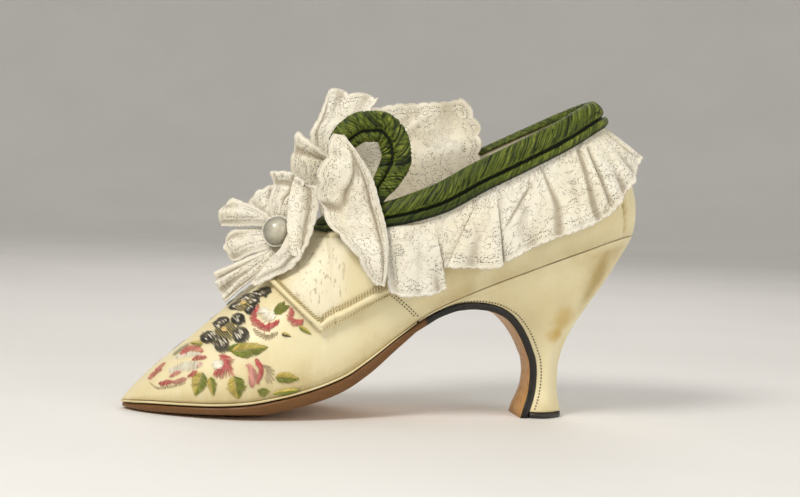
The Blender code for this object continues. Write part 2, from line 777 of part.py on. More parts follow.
def saddle_braid():
    """The braid along the front and side edges of the saddle."""

    def low(row):
        return t_at_height(row, saddle_low(row) + 0.2)

    def high(row):
        along = upper_point(row, 0.5)[0] - SADDLE_CORNER[0]
        height = BRAID_FRONT + (BRAID_SIDE - BRAID_FRONT) * smoothstep(-3.0, 3.0, along)
        return t_at_height(row, saddle_low(row) + height)

    inside = 2 * TRIM_CLEAR + SADDLE
    return shell_between("saddle_braid", saddle_rows(), low, high, inside, inside + BRAID, 4, "braid")


def topline_frame(row):
    """A point of the topline with its outward and upward directions."""
    here = upper_point(row, 1.0)
    step = 0.02
    low, high = max(float(THROAT), row - step), min(float(BACK), row + step)
    along = upper_point(high, 1.0) - upper_point(low, 1.0)
    if row in (float(THROAT), float(BACK)):
        along = np.array((0.0, -1.0 if row == THROAT else 1.0, 0.0))
    along /= np.linalg.norm(along)
    ridge = upper_normal(float(THROAT), 1.0)
    share = smoothstep(THROAT, THROAT + 2.5, row)
    out = (1 - share) * ridge + share * upper_normal(row, 0.92)
    up = np.cross(out, along)
    up /= np.linalg.norm(up)
    if up[2] < 0:
        up = -up
    out = np.cross(along, up)
    if out @ upper_normal(row, 0.9) < 0:
        out = -out
    return here, out / np.linalg.norm(out), up


def collar_ribbon(skin):
    """The ruched ribbon that binds the topline: a broad puff over a narrow one."""
    near = []
    for row in np.concatenate([throat_rows(), quarter_rows()[1:]]):
        here, out, up = topline_frame(row)
        size = RIBBON_FRONT + (1 - RIBBON_FRONT) * smoothstep(THROAT, RIBBON_FULL, row)
        ring = []
        for outwards, upwards in RIBBON_SECTION:
            place = here + up * upwards * (size if abs(upwards) > 0.5 else 1.0)
            if upwards < 0:
                start = Vector(place + 15 * out)
                hit = skin.ray_cast(start, Vector(-out))[0]
                place = np.array(hit if hit is not None else place)
            ring.append(place + out * outwards * (size if outwards > 1.0 else 1.0))
        near.append(np.array(ring))
    for end in (0, -1):
        near[end][:, 1] = 0.0
    rings = near + [mirrored(ring) for ring in near[-2:0:-1]]
    return loft("collar_ribbon", rings, "green_ribbon", closed=True)


def ribbon_curl():
    """The curl of the same ribbon that stands on the near topline."""
    path = smooth_table(CURL_ROWS)
    section = list(CURL_SECTION) + [(a, -b) for a, b in reversed(CURL_SECTION) if b > 0]
    rings = []
    last = len(CURL_ROWS) - 1
    for place in np.linspace(0, last, 19):
        along = path(min(place + 0.05, last)) - path(max(place - 0.05, 0))
        along /= np.linalg.norm(along)
        broad = np.cross(along, (0.0, 1.0, 0.0))
        broad /= np.linalg.norm(broad)
        thick = np.cross(broad, along)
        rings.append(np.array([path(place) - broad * a + thick * b for a, b in section]))
    return loft("ribbon_curl", rings, "green_ribbon")


def collar_frill():
    """The gathered lace that hangs from the ribbon all round the quarters."""
    folds = smooth_table([row[1:] for row in FRILL_ROWS], [row[0] for row in FRILL_ROWS], odd_end=())
    rows = []
    for start, end in zip(FRILL_ROWS[:-1], FRILL_ROWS[1:]):
        rows += [start[0], (start[0] + end[0]) / 2]
    rows.append(FRILL_ROWS[-1][0])
    shares = np.linspace(0.0, 1.0, 4)
    near = np.zeros((len(rows), len(shares), 3))
    for i, row in enumerate(rows):
        drop, stand = folds(row)
        lift = FRILL_LIFT + (FRILL_SADDLE_LIFT - FRILL_LIFT) * (1 - smoothstep(10.8, 11.8, row))
        for j, share in enumerate(shares):
            t = t_below_top(row, FRILL_TOP + share * drop)
            near[i, j] = offset_point(row, t, lift + stand * share**1.2)
    near[-1, :, 1] = 0.0
    grid = np.concatenate([near, mirrored(near[-2::-1])])
    return sheet_solid("collar_frill", grid, LACE, "lace")


# Standing and hanging lace


def row_sheet(name, table, outwards, columns=7, levels=9):
    """A lace sheet lofted through rows that run from one edge to the other, bowed outwards."""
    row_at = smooth_table(table)
    grid = np.zeros((levels, columns, 3))
    for i, place in enumerate(np.linspace(0, len(table) - 1, levels)):
        values = row_at(place)
        for j, share in enumerate(np.linspace(0, 1, columns)):
            bow = values[6] * 4 * share * (1 - share)
            grid[i, j] = (1 - share) * values[:3] + share * values[3:6] + bow * np.array(outwards)
    return sheet_solid(name, grid, LACE, "lace")


def rosette_frame():
    facing = np.array(ROSETTE_FACING) / np.linalg.norm(ROSETTE_FACING)
    across = np.cross((0.0, 0.0, 1.0), facing)
    across = -across / np.linalg.norm(across)
    up = np.cross(facing, across)
    if up[2] < 0:
        up = -up
    if across[0] < 0:
        across = -across
    return np.array(ROSETTE_MIDDLE), across, up, facing


def rosette(skin):
    """The gathered lace rosette on the instep."""
    middle, across, up, facing = rosette_frame()
    wrapped = ROSETTE_ROWS[-1:] + ROSETTE_ROWS + ROSETTE_ROWS[:2]
    angles = [row[0] for row in wrapped]
    angles[0] -= 360
    angles[-2] += 360
    angles[-1] += 360
    folds = smooth_table([row[1:] for row in wrapped], angles)
    shares = (0.0, 0.3, 0.65, 1.0)
    columns = 2 * len(ROSETTE_ROWS)
    grid = np.zeros((columns, len(shares), 3))
    for i in range(columns):
        k, part = divmod(i, 2)
        start, end = angles[k + 1], angles[k + 2]
        angle = start + part / 2 * (end - start)
        reach, lift = folds(angle)
        direction = math.cos(math.radians(angle)) * across + math.sin(math.radians(angle)) * up
        for j, share in enumerate(shares):
            radius = ROSETTE_CORE + share * (reach - ROSETTE_CORE)
            place = middle + radius * direction + lift * share**1.1 * facing
            hit = skin.ray_cast(Vector(place + 60 * facing), Vector(-facing))[0]
            short = 0.0 if hit is None else ROSETTE_REST - (place - np.array(hit)) @ facing
            grid[i, j] = place + max(0.0, short) * facing
    return sheet_solid("rosette", grid, LACE, "lace", closed=True)


def pearl_button():
    """The round pearl in the middle of the rosette, on its shank."""
    middle, across, up, facing = rosette_frame()
    centre = middle + facing * (PEARL_RADIUS + 1.6)
    steps, around = 12, 16
    rings = []
    for k in range(1, steps):
        angle = math.pi * k / steps
        ring_centre = centre - facing * PEARL_RADIUS * math.cos(angle)
        radius = PEARL_RADIUS * math.sin(angle)
        spin = [2 * math.pi * j / around for j in range(around)]
        rings.append(np.array([ring_centre + radius * (math.cos(s) * across + math.sin(s) * up) for s in spin]))
    # The shank goes through the hole in the middle of the lace.
    shank = [ring.mean(axis=0) + (ring - ring.mean(axis=0)) * 2.4 / np.linalg.norm(ring[0] - ring.mean(axis=0)) for ring in rings[:1]]
    shank[0] = shank[0] - facing * 3.4
    return loft("pearl_button", shank + rings, "pearl")


def main():
    clear_scene()
    _, skin = upper()
    outsole()
    rand()
    insole()
    heel()
    top_piece()
    instep_saddle()
    saddle_braid()
    collar_ribbon(skin)
    ribbon_curl()
    collar_frill()
    row_sheet("lace_drape", DRAPE_ROWS, (0.0, -1.0, 0.0))
    row_sheet("lace_plume", PLUME_ROWS, (-0.4, -0.9, 0.0))
    row_sheet("lace_leaf", LEAF_ROWS, (-0.5, -0.8, 0.2), columns=6, levels=6)
    row_sheet("lace_wing", WING_ROWS, (0.0, 1.0, 0.0), columns=9, levels=6)
    rosette(skin)
    pearl_button()


main()
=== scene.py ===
"""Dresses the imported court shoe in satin, lace, ruched ribbon, embroidery and leather.

It is laid out as an add-on and run as a script. The toe points to -X, the heel to +X and the near
side to -Y. Tables are in millimetres and repeat the last of the solids; MM turns them to metres.
"""

import json
import math

import bmesh
import bpy
import numpy as np
from bpy.props import FloatProperty, FloatVectorProperty, IntProperty, PointerProperty
from mathutils import Matrix, Vector
from mathutils.bvhtree import BVHTree

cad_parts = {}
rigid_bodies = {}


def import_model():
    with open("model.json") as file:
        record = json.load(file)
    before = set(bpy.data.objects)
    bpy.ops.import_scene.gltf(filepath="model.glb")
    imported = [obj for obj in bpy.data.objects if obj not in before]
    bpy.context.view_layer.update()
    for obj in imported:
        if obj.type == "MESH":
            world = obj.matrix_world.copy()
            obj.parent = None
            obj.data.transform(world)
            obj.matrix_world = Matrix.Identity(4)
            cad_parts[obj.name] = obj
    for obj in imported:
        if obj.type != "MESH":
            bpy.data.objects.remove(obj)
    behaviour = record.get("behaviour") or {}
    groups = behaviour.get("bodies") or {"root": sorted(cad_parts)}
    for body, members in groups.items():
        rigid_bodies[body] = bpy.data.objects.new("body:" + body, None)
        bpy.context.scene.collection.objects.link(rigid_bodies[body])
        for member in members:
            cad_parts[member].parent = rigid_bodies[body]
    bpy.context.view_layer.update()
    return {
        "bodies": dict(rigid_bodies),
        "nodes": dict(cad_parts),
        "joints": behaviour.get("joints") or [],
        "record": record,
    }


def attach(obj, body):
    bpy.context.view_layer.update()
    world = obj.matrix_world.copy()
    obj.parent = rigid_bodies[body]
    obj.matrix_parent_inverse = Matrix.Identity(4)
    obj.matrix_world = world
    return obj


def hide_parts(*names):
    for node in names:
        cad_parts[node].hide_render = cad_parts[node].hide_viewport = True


bl_info = {
    "name": "Court Shoe Dresser",
    "version": (1, 0, 0),
    "blender": (4, 5, 0),
    "location": "View3D > Sidebar > Shoe",
    "description": "Builds the satin, lace, ribbon and leather of a lady's court shoe round its solids",
    "category": "Object",
}

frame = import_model()
MM = 0.001

# The last, as in the solids

CLEAR = 0.3
TRIM_CLEAR = 0.6
RAND = 1.0
RAND_REACH = 0.7
SOLE_REACH = 0.9
FLAP = 3.2
INSOLE = 2.0
TOP_PIECE = 2.4
SADDLE = 1.2

# Columns: x, half_width, z, belly, rise, turn
FOOT_ROWS = (
    (-179.2, 0.0, 4.0, 0.0, 0.6, 0),
    (-176.0, 6.8, 4.5, 0.5, 2.4, 0),
    (-167.8, 15.5, 5.5, 1.2, 6.5, 0),
    (-154.4, 24.5, 6.1, 1.8, 11.5, 0),
    (-141.0, 30.5, 6.7, 2.4, 17.0, 0),
    (-127.3, 33.5, 8.1, 2.6, 22.0, 0),
    (-113.8, 33.5, 10.9, 2.4, 28.0, 0),
    (-100.0, 31.5, 14.8, 2.2, 33.0, 0),
    (-93.0, 30.0, 17.4, 2.2, 34.0, 0),
    (-87.0, 28.4, 20.1, 2.4, 32.0, 0),
    (-77.0, 25.5, 26.7, 3.2, 25.0, 0),
    (-64.2, 22.5, 36.4, 4.8, 19.0, 0),
    (-50.2, 21.5, 46.5, 5.6, 16.5, 0),
    (-34.8, 23.0, 54.2, 5.4, 16.0, 0),
    (-22.3, 24.5, 59.8, 4.8, 16.0, 0),
    (-9.7, 25.5, 64.9, 4.0, 16.5, 2),
    (3.0, 26.0, 70.0, 3.4, 17.0, 8),
    (16.5, 24.0, 74.8, 3.2, 17.0, 24),
    (26.7, 19.0, 78.1, 3.4, 16.5, 46),
    (35.6, 11.0, 80.2, 4.0, 16.0, 69),
    (42.0, 0.0, 81.1, 4.5, 16.0, 90),
)
# Columns: x, z, shoulder
RIDGE_ROWS = (
    (-179.0, 4.8, 0.0),
    (-176.0, 8.4, 4.2),
    (-167.8, 16.9, 9.0),
    (-154.4, 28.5, 14.0),
    (-141.0, 40.2, 17.0),
    (-127.3, 53.0, 19.0),
    (-113.8, 65.8, 20.0),
    (-102.5, 76.0, 20.0),
    (-95.6, 82.0, 19.0),
)
THROAT = len(RIDGE_ROWS) - 1
# Columns: x, half_width, z, lean, drop
TOPLINE_ROWS = (
    (-95.6, 0.0, 82.0, 19.0, 0.0),
    (-91.5, 11.5, 83.6, 13.0, 5.0),
    (-79.5, 20.8, 87.4, 8.5, 14.0),
    (-66.0, 25.0, 91.8, 5.0, 18.0),
    (-52.0, 27.0, 97.6, 3.4, 18.5),
    (-35.5, 27.0, 107.2, 2.6, 19.0),
    (-22.0, 26.0, 114.2, 2.6, 19.5),
    (-9.5, 24.0, 120.6, 3.4, 20.0),
    (0.6, 20.5, 125.8, 5.4, 20.0),
    (9.2, 15.0, 130.4, 9.5, 19.5),
    (15.0, 9.6, 133.4, 13.6, 19.0),
    (18.7, 4.6, 135.2, 16.2, 19.0),
    (20.0, 0.0, 135.8, 17.0, 19.0),
)
BACK = len(FOOT_ROWS) - 1
TOE_FILL = 1.25
# Columns: x, z, edge_lift
SOLE_ROWS = (
    (-179.2, 1.0, 0.3),
    (-172.0, 0.3, 0.6),
    (-164.0, 0.0, 1.0),
    (-150.0, 0.0, 1.5),
    (-136.0, 0.0, 2.1),
    (-124.0, 0.0, 2.6),
    (-113.8, 1.8, 2.4),
    (-100.0, 5.7, 2.0),
    (-87.7, 11.0, 1.5),
    (-77.0, 18.3, 1.2),
    (-64.2, 30.0, 0.8),
    (-56.0, 37.7, 0.6),
)
WAIST = 11.6
# Columns: breast_x, breast_z, breast_half, back_x, back_z, half_width, seat_share
HEEL_ROWS = (
    (-50.2, 45.2, 21.3, 40.9, 78.6, 25.5, 0.85),
    (-45.0, 47.6, 20.8, 38.6, 74.2, 24.6, 0.70),
    (-38.5, 49.6, 20.2, 36.0, 70.0, 23.3, 0.55),
    (-31.8, 50.2, 19.3, 33.0, 65.0, 21.8, 0.40),
    (-24.9, 49.6, 18.2, 30.2, 60.6, 20.2, 0.25),
    (-20.2, 48.3, 17.0, 27.6, 56.6, 18.8, 0.12),
    (-14.8, 45.5, 15.0, 24.4, 52.0, 17.2, 0.0),
    (-10.2, 41.1, 13.0, 21.0, 47.0, 15.6, 0.0),
    (-6.3, 35.4, 11.3, 17.0, 40.8, 13.7, 0.0),
    (-3.5, 29.6, 10.1, 13.6, 34.3, 12.0, 0.0),
    (-1.7, 24.8, 9.4, 11.5, 28.6, 10.9, 0.0),
    (-1.0, 18.6, 9.1, 10.1, 21.0, 10.2, 0.0),
    (-1.3, 13.4, 9.5, 10.0, 14.5, 10.2, 0.0),
    (-2.4, 8.2, 10.6, 10.7, 8.5, 11.2, 0.0),
    (-4.3, 2.9, 12.2, 12.0, 2.9, 12.9, 0.0),
)
HEEL_LAST = len(HEEL_ROWS) - 1
HEEL_STEPS = 90
SEAT_BOW = 3.9
HEEL_ROUND = 2.4

SADDLE_CORNER = (-100.0, 36.8)
SADDLE_FRONT_SLOPE = -1.0
SADDLE_SIDE_SLOPE = 0.55
SADDLE_TOP = (-103.0, 73.6)
SADDLE_TOP_SLOPE = 0.2
SADDLE_END = 10.75
BRAID_FRONT = 4.6
BRAID_SIDE = 7.2

# Stitches, stains and the saddle's painted highlight, in metres and radians

BRAID_STITCH_PITCH = 0.0013
BRAID_STITCH = (0.0016, 0.0006, 0.0006)
HEEL_STITCH = (0.0009, 0.0007, 0.0005)
SEAM_STITCH = (0.0010, 0.0006, 0.0005)
STITCH_LOOSENESS = 0.06
PEARL_CORD_RADIUS = 0.00055
# Where the painted highlight runs along the middle of the saddle
SADDLE_HIGHLIGHT_X = -0.1010
# Columns: middle, radius, colour, strength
HEEL_STAINS = (
    ((0.0060, -0.012, 0.0370), 0.0065, (0.62, 0.36, 0.03), 0.85),
    ((0.0088, -0.012, 0.0430), 0.0085, (0.64, 0.40, 0.05), 0.70),
    ((0.0020, -0.013, 0.0460), 0.0160, (0.60, 0.48, 0.22), 0.35),
)

# Ribbon and lace

# Columns: out, up
RIBBON_SECTION = (
    (-2.4, 0.4),
    (-2.4, 1.4),
    (-1.0, 2.5),
    (1.2, 2.7),
    (3.2, 1.4),
    (4.2, -1.6),
    (3.8, -4.6),
    (2.3, -6.2),
    (3.5, -7.5),
    (3.0, -9.4),
    (1.6, -10.2),
    (0.9, -10.0),
    (0.9, -5.0),
    (0.4, 0.4),
)
RIBBON_DEPTH = 10.2
RIBBON_FRONT = 0.6
RIBBON_FULL = 12.5
GATHER_MIDDLE = 0.72
RIBBON_RAY = 15  # where rays that look for the upper start
RIBBON_AROUND = 92  # points round a section
LACE_MOTIF_SCALE = 0.080
SCALLOP_REACH = 0.16
FAR_FROM_EDGE = 60.0

# Columns: x, y, z, width_share
CURL_ROWS = (
    (-78.0, -25.0, 92.2, 0.62),
    (-75.6, -25.0, 97.0, 0.72),
    (-72.0, -24.6, 102.4, 0.88),
    (-68.8, -24.0, 110.6, 1.0),
    (-70.4, -23.0, 118.6, 1.0),
    (-76.2, -22.0, 123.6, 1.0),
    (-83.0, -21.4, 123.2, 1.0),
    (-89.2, -21.0, 119.4, 0.95),
    (-93.2, -20.6, 114.2, 0.8),
)
# Columns: across, out
CURL_SECTION = ((-6.4, 0.0), (-5.2, 2.4), (-1.0, 3.2), (1.9, 1.3), (4.2, 2.6), (6.2, 1.0))

# One row for each fold of the frill. A row that steps back tucks the lace under the fold before it.
# Columns: row, drop, stand, lean
FRILL_ROWS = (
    (10.45, 22.0, 4.5, 0.0),
    (10.90, 25.0, 6.6, 0.0),
    (11.35, 26.6, 7.2, 0.10),
    (11.75, 28.6, 7.0, 0.20),
    (11.95, 29.0, 5.6, 0.26),
    (11.87, 27.0, 2.6, 0.24),
    (11.98, 22.0, 2.2, 0.15),
    (12.25, 20.2, 3.8, 0.02),
    (12.60, 20.6, 4.4, -0.15),
    (12.95, 22.0, 3.6, -0.30),
    (13.22, 23.0, 2.4, -0.40),
    (13.36, 23.4, 2.0, -0.48),
    (13.28, 22.0, 4.6, -0.86),
    (13.20, 20.0, 6.6, -0.98),
    (13.25, 21.8, 7.6, -0.84),
    (13.36, 26.6, 7.2, -0.48),
    (13.46, 30.2, 7.2, -0.14),
    (13.56, 32.4, 7.8, 0.20),
    (13.62, 32.8, 6.4, 0.28),
    (13.53, 32.6, 3.2, 0.26),
    (13.70, 32.6, 2.8, 0.20),
    (14.10, 32.6, 5.6, 0.10),
    (14.60, 32.4, 4.2, 0.05),
    (15.05, 32.2, 5.8, 0.10),
    (15.45, 32.6, 4.6, 0.25),
    (15.90, 33.2, 6.2, 0.40),
    (16.30, 33.2, 5.2, 0.55),
    (16.75, 32.2, 6.2, 0.50),
    (17.15, 29.6, 6.2, 0.55),
    (17.55, 26.6, 4.8, 0.60),
    (18.00, 23.4, 6.2, 0.55),
    (18.50, 20.8, 4.8, 0.45),
    (19.00, 18.8, 5.4, 0.30),
    (19.50, 17.6, 6.8, 0.12),
    (20.00, 17.2, 7.6, 0.0),
)
# Creases in the hanging lace, by foot row at the top and at the hem.
# Columns: top_row, hem_row, width, first, last, height
FRILL_CREASES = (
    (15.23, 13.10, 0.10, 0.22, 0.55, -0.9),
    (15.20, 16.10, 0.08, 0.00, 0.66, -0.9),
    (16.78, 16.95, 0.08, 0.04, 0.90, -1.0),
    (17.02, 17.18, 0.13, 0.04, 0.90, 1.3),
    (17.22, 17.44, 0.09, 0.12, 0.92, -1.9),
    (18.90, 19.70, 0.14, 0.00, 1.00, -1.2),
)
FRILL_TOP = 12.0
FRILL_LIFT = 0.9
FRILL_TUCK = 0.5
FRILL_HIDDEN = 1.2
FRILL_SADDLE_LIFT = 3.5
FRILL_STEPS = 420  # columns on each side

# Columns: x0, y0, z0, x1, y1, z1, bow
DRAPE_ROWS = (
    (-95.6, -25.8, 119.6, -92.0, -26.2, 119.2, 0.0),
    (-97.0, -25.6, 111.4, -85.8, -27.2, 111.4, 1.4),
    (-100.4, -23.6, 101.0, -79.6, -28.8, 101.2, 2.0),
    (-99.6, -21.6, 92.0, -76.4, -30.2, 91.0, 2.2),
    (-95.6, -26.4, 81.8, -73.9, -33.0, 81.4, 2.0),
    (-87.4, -33.6, 72.6, -73.0, -37.4, 72.4, 1.6),
    (-81.6, -36.4, 64.0, -73.4, -38.8, 63.8, 1.2),
    (-77.4, -37.6, 58.2, -74.4, -38.6, 57.4, 0.0),
)
PLUME_ROWS = (
    (-96.4, 4.0, 84.8, -90.0, 2.0, 86.4, 0.6),
    (-98.2, 6.0, 101.0, -90.8, 3.0, 102.0, 1.2),
    (-101.2, 9.0, 112.0, -90.6, 4.6, 113.0, 1.4),
    (-102.1, 9.5, 119.8, -87.0, 5.0, 121.4, 1.4),
    (-98.0, 11.5, 128.3, -78.3, 6.0, 129.5, 1.2),
    (-93.9, 13.5, 139.4, -72.8, 8.5, 136.6, 0.8),
)
LEAF_ROWS = (
    (-104.6, 3.4, 91.0, -100.4, 0.6, 92.0, 0.6),
    (-108.8, 5.6, 100.0, -98.2, 1.2, 100.4, 2.0),
    (-110.4, 6.0, 107.0, -96.2, 1.0, 106.0, 2.4),
    (-107.8, 6.0, 120.4, -94.9, 1.0, 110.4, 1.8),
)
WING_ROWS = (
    (-71.0, 20.4, 89.0, -24.5, 22.2, 107.5, 0.4),
    (-80.0, 19.6, 99.0, -24.5, 20.6, 118.0, 0.4),
    (-86.0, 22.0, 119.0, -24.6, 24.0, 126.0, 3.0),
    (-82.0, 26.0, 131.6, -31.0, 29.0, 138.4, 3.0),
)

# Each row of a petal runs from one edge over its ridge to the other edge: across, up and out from the middle.
ROSETTE_MIDDLE = (-112.4, -7.4, 74.8)
ROSETTE_FACING = (-0.56, -0.72, 0.40)
# Columns: across0, up0, out0, across1, up1, out1, across2, up2, out2
PETALS = {
    "upper_left": (
        (-3.6, 3.0, 1.2, -4.2, 2.2, 1.5, -4.0, 1.0, 1.2),
        (-10.0, 8.5, 4.0, -9.8, 6.0, 6.0, -9.4, 3.4, 4.0),
        (-18.1, 11.8, 5.0, -16.5, 7.6, 8.5, -14.0, 3.4, 4.5),
        (-24.9, 13.7, 5.0, -25.0, 8.3, 8.0, -24.1, 2.9, 4.5),
        (-29.0, 14.9, 4.5, -33.0, 8.6, 6.0, -32.8, 3.2, 3.5),
    ),
    "behind": (
        (-3.0, 3.4, 0.8, -2.6, 3.8, 0.8, -2.0, 4.0, 0.8),
        (-12.4, 9.3, 2.0, -10.5, 10.2, 3.2, -8.2, 10.4, 2.0),
        (-17.9, 11.9, 2.0, -14.5, 14.0, 3.5, -9.6, 15.1, 2.0),
        (-22.8, 14.5, 1.5, -18.5, 19.8, 2.5, -11.0, 24.0, 2.0),
    ),
    "left": (
        (-4.2, 1.0, 0.8, -4.2, -0.5, 1.0, -3.6, -2.0, 0.8),
        (-9.4, 3.2, 2.0, -7.6, -1.2, 3.6, -4.8, -5.6, 2.4),
        (-19.9, 2.2, 2.0, -17.6, -3.4, 4.2, -14.5, -9.0, 2.2),
        (-25.9, 1.4, 2.0, -23.4, -5.0, 4.0, -18.9, -11.3, 2.0),
        (-28.6, -1.5, 2.0, -27.2, -7.0, 3.0, -22.0, -12.9, 2.0),
    ),
    "lower_left": (
        (-2.4, -3.2, 1.0, -1.6, -3.8, 1.4, -0.6, -4.0, 1.0),
        (-3.2, -5.9, 3.4, -2.2, -8.2, 5.0, -0.6, -10.8, 3.4),
        (-13.2, -11.3, 3.4, -10.6, -15.2, 5.2, -7.6, -19.5, 3.0),
        (-22.9, -16.4, 3.2, -18.6, -20.6, 4.6, -13.5, -25.1, 2.6),
        (-28.3, -19.0, 3.0, -24.6, -25.0, 4.0, -18.1, -32.2, 2.2),
    ),
    "top": (
        (-2.6, 3.2, 1.0, -1.0, 4.2, 1.2, 0.6, 4.0, 1.0),
        (-8.3, 9.6, 3.6, -3.6, 9.4, 5.8, 1.5, 9.1, 4.0),
        (-10.3, 15.6, 4.4, -4.4, 15.2, 6.6, 2.1, 14.3, 5.0),
        (-9.9, 21.3, 5.0, -2.8, 20.2, 6.4, 5.0, 18.2, 5.2),
        (-12.2, 27.5, 6.0, -3.0, 27.4, 6.4, 6.0, 22.9, 5.6),
    ),
    "right": (
        (1.6, 17.5, 3.2, -0.6, 24.6, 5.4, 7.2, 22.4, 5.0),
        (3.0, 11.5, 3.0, 1.2, 17.1, 7.4, 12.5, 21.7, 6.0),
        (5.6, 7.4, 3.0, 3.8, 8.6, 9.4, 15.2, 16.3, 6.0),
        (8.4, 2.2, 3.0, 6.2, 1.4, 10.6, 16.1, 6.2, 6.4),
        (8.8, -4.0, 3.0, 9.4, -6.8, 9.2, 15.4, -3.9, 6.4),
        (7.8, -7.5, 3.0, 11.0, -10.0, 7.8, 13.6, -9.6, 6.8),
    ),
    "lower_right": (
        (8.0, -3.2, 2.4, 6.9, -1.4, 9.6, 11.4, -6.2, 8.6),
        (5.4, -6.8, 2.4, 4.9, -7.5, 8.8, 14.0, -9.2, 6.6),
        (0.0, -10.5, 2.4, -0.6, -13.2, 7.0, 10.3, -15.2, 5.6),
        (-3.6, -16.5, 2.6, -4.5, -19.4, 6.0, 2.0, -21.0, 4.6),
        (-6.6, -21.0, 3.2, -7.1, -23.2, 4.8, -4.0, -24.6, 4.4),
    ),
}
ROSETTE_REST = 5.0
PETAL_RAY = 60
PEARL_LIT = (-0.2, -0.9, 0.1)
# The pearl is painted as lit from this direction, with painted shade on its rim away from it.
PEARL_GLOW = (0.10, -0.99, 0.08)

# Embroidery in side view, on both sides of the vamp

# Columns: x, z, tip_x, tip_z, width, left_thread, right_thread
LEAF_MOTIFS = (
    (-146.6, 19.1, -149.5, 9.4, 6.2, "green", "olive"),
    (-143.5, 17.6, -142.1, 9.9, 3.6, "green", "olive"),
    (-134.1, 18.4, -132.0, 9.1, 7.2, "green", "olive"),
    (-122.2, 14.1, -121.6, 9.9, 4.8, "green", "green"),
    (-118.2, 11.6, -106.6, 13.5, 2.4, "olive", "green"),
    (-117.4, 18.5, -107.4, 18.0, 4.8, "olive", "green"),
    (-135.4, 27.7, -120.5, 30.5, 6.0, "olive", "green"),
    (-137.0, 28.2, -129.5, 31.4, 2.6, "green", "green"),
    (-146.4, 29.8, -151.5, 30.9, 3.2, "green", "olive"),
    (-118.2, 43.9, -110.4, 49.9, 3.8, "green", "green"),
    (-115.1, 36.1, -111.2, 35.2, 1.8, "olive", "black"),
    (-108.1, 39.5, -102.8, 36.2, 2.0, "olive", "green"),
)
# Columns: thread, width, slant, pitch_share, path
STROKES = (
    ("white", 3.8, 0.5, 1.0, ((-160.5, 17.8), (-155.0, 19.9), (-150.6, 20.9), (-146.6, 22.0))),
    ("white", 2.8, 0.4, 1.0, ((-158.0, 23.4), (-153.0, 25.4), (-147.0, 25.8))),
    ("white", 5.0, 0.4, 0.7, ((-142.4, 23.4), (-139.6, 22.0), (-138.6, 19.6))),
    ("white", 6.0, 0.4, 0.7, ((-122.4, 46.2), (-121.0, 43.4), (-117.6, 42.6))),
    ("red", 3.4, 0.6, 1.15, ((-155.8, 25.3), (-151.1, 28.0), (-146.4, 26.8))),
    ("red", 1.9, 0.6, 1.15, ((-151.0, 23.4), (-147.8, 24.4), (-144.9, 24.8))),
    ("red", 1.7, 0.5, 1.15, ((-165.8, 17.8), (-163.4, 19.8), (-161.7, 21.4))),
    ("red", 1.9, 0.5, 1.15, ((-168.5, 13.7), (-166.2, 16.4), (-163.1, 18.2))),
    ("red", 2.2, 0.7, 1.15, ((-164.4, 12.6), (-161.6, 13.3), (-158.6, 14.0))),
    ("pink", 2.2, 0.7, 1.15, ((-159.0, 13.9), (-156.0, 14.6), (-153.0, 15.7))),
    ("red", 2.0, 0.7, 1.15, ((-152.8, 16.7), (-150.6, 17.7), (-148.7, 18.9))),
    ("pink", 1.6, 0.7, 1.0, ((-160.0, 15.8), (-157.9, 17.0), (-155.4, 18.2))),
    ("pink", 1.8, 0.7, 1.0, ((-149.2, 21.3), (-147.8, 21.7), (-146.6, 22.0))),
    ("grey", 1.2, 0.6, 1.6, ((-168.0, 12.6), (-164.7, 10.9), (-159.0, 12.2), (-153.4, 14.1))),
    ("red", 5.2, 0.9, 1.15, ((-139.0, 26.4), (-136.6, 23.8), (-137.0, 21.0), (-142.2, 19.0))),
    ("red", 2.8, 1.2, 1.15, ((-124.9, 25.7), (-123.2, 20.9), (-124.9, 16.0))),
    ("pink", 3.8, 1.2, 1.15, ((-127.4, 23.2), (-126.6, 19.5), (-127.6, 14.8))),
    ("grey", 4.2, 1.0, 2.2, ((-121.0, 23.4), (-119.8, 20.5), (-121.0, 16.4))),
    ("red", 3.2, 0.7, 1.15, ((-124.0, 47.2), (-126.2, 42.0), (-121.6, 38.0), (-115.9, 41.0))),
    ("red", 2.8, 0.7, 1.15, ((-109.7, 47.6), (-111.6, 42.9), (-108.1, 40.7), (-103.8, 42.2))),
    ("grey", 2.6, 0.9, 2.2, ((-126.6, 37.6), (-121.0, 34.4), (-116.4, 36.4))),
    ("black", 2.0, 0.4, 1.8, ((-158.6, 25.2), (-155.2, 28.0), (-152.0, 30.6))),
)
# Each flower's heart and its lobes by x, z and radius
FLOWERS = (
    (
        (-137.6, 36.3),
        (
            (-144.3, 33.2, 3.3),
            (-139.0, 30.2, 3.2),
            (-131.4, 34.6, 3.5),
            (-132.4, 41.2, 2.9),
            (-138.9, 40.2, 3.4),
        ),
    ),
    (
        (-129.6, 48.9),
        (
            (-132.9, 48.7, 2.6),
            (-128.2, 52.4, 2.8),
            (-121.4, 53.8, 2.7),
            (-124.9, 53.0, 2.6),
            (-125.6, 49.2, 2.1),
            (-127.2, 45.2, 2.4),
        ),
    ),
)
FLOWER_SLANT = (0.6, -0.8)
FLOWER_SIDE = (0.8, 0.6)
SEAM_PATH = ((-71.6, 55.4), (-67.5, 52.3), (-62.0, 48.1), (-57.8, 44.4))

# Where the camera stands, from the photograph's view

CAMERA_TARGET = (-62.0, 0.0, 71.6)
CAMERA_AZIMUTH = -9.0
CAMERA_ELEVATION = 2.5
CAMERA_ROLL = 2.2
CAMERA_DISTANCE = 750.0
CAMERA_SCALE = 0.435  # millimetres of the object for each pixel at the target
IMAGE_WIDTH = 800
SENSOR_WIDTH = 36.0

# Floor in millimetres, and lights by place, size, power and colour in metres and watts

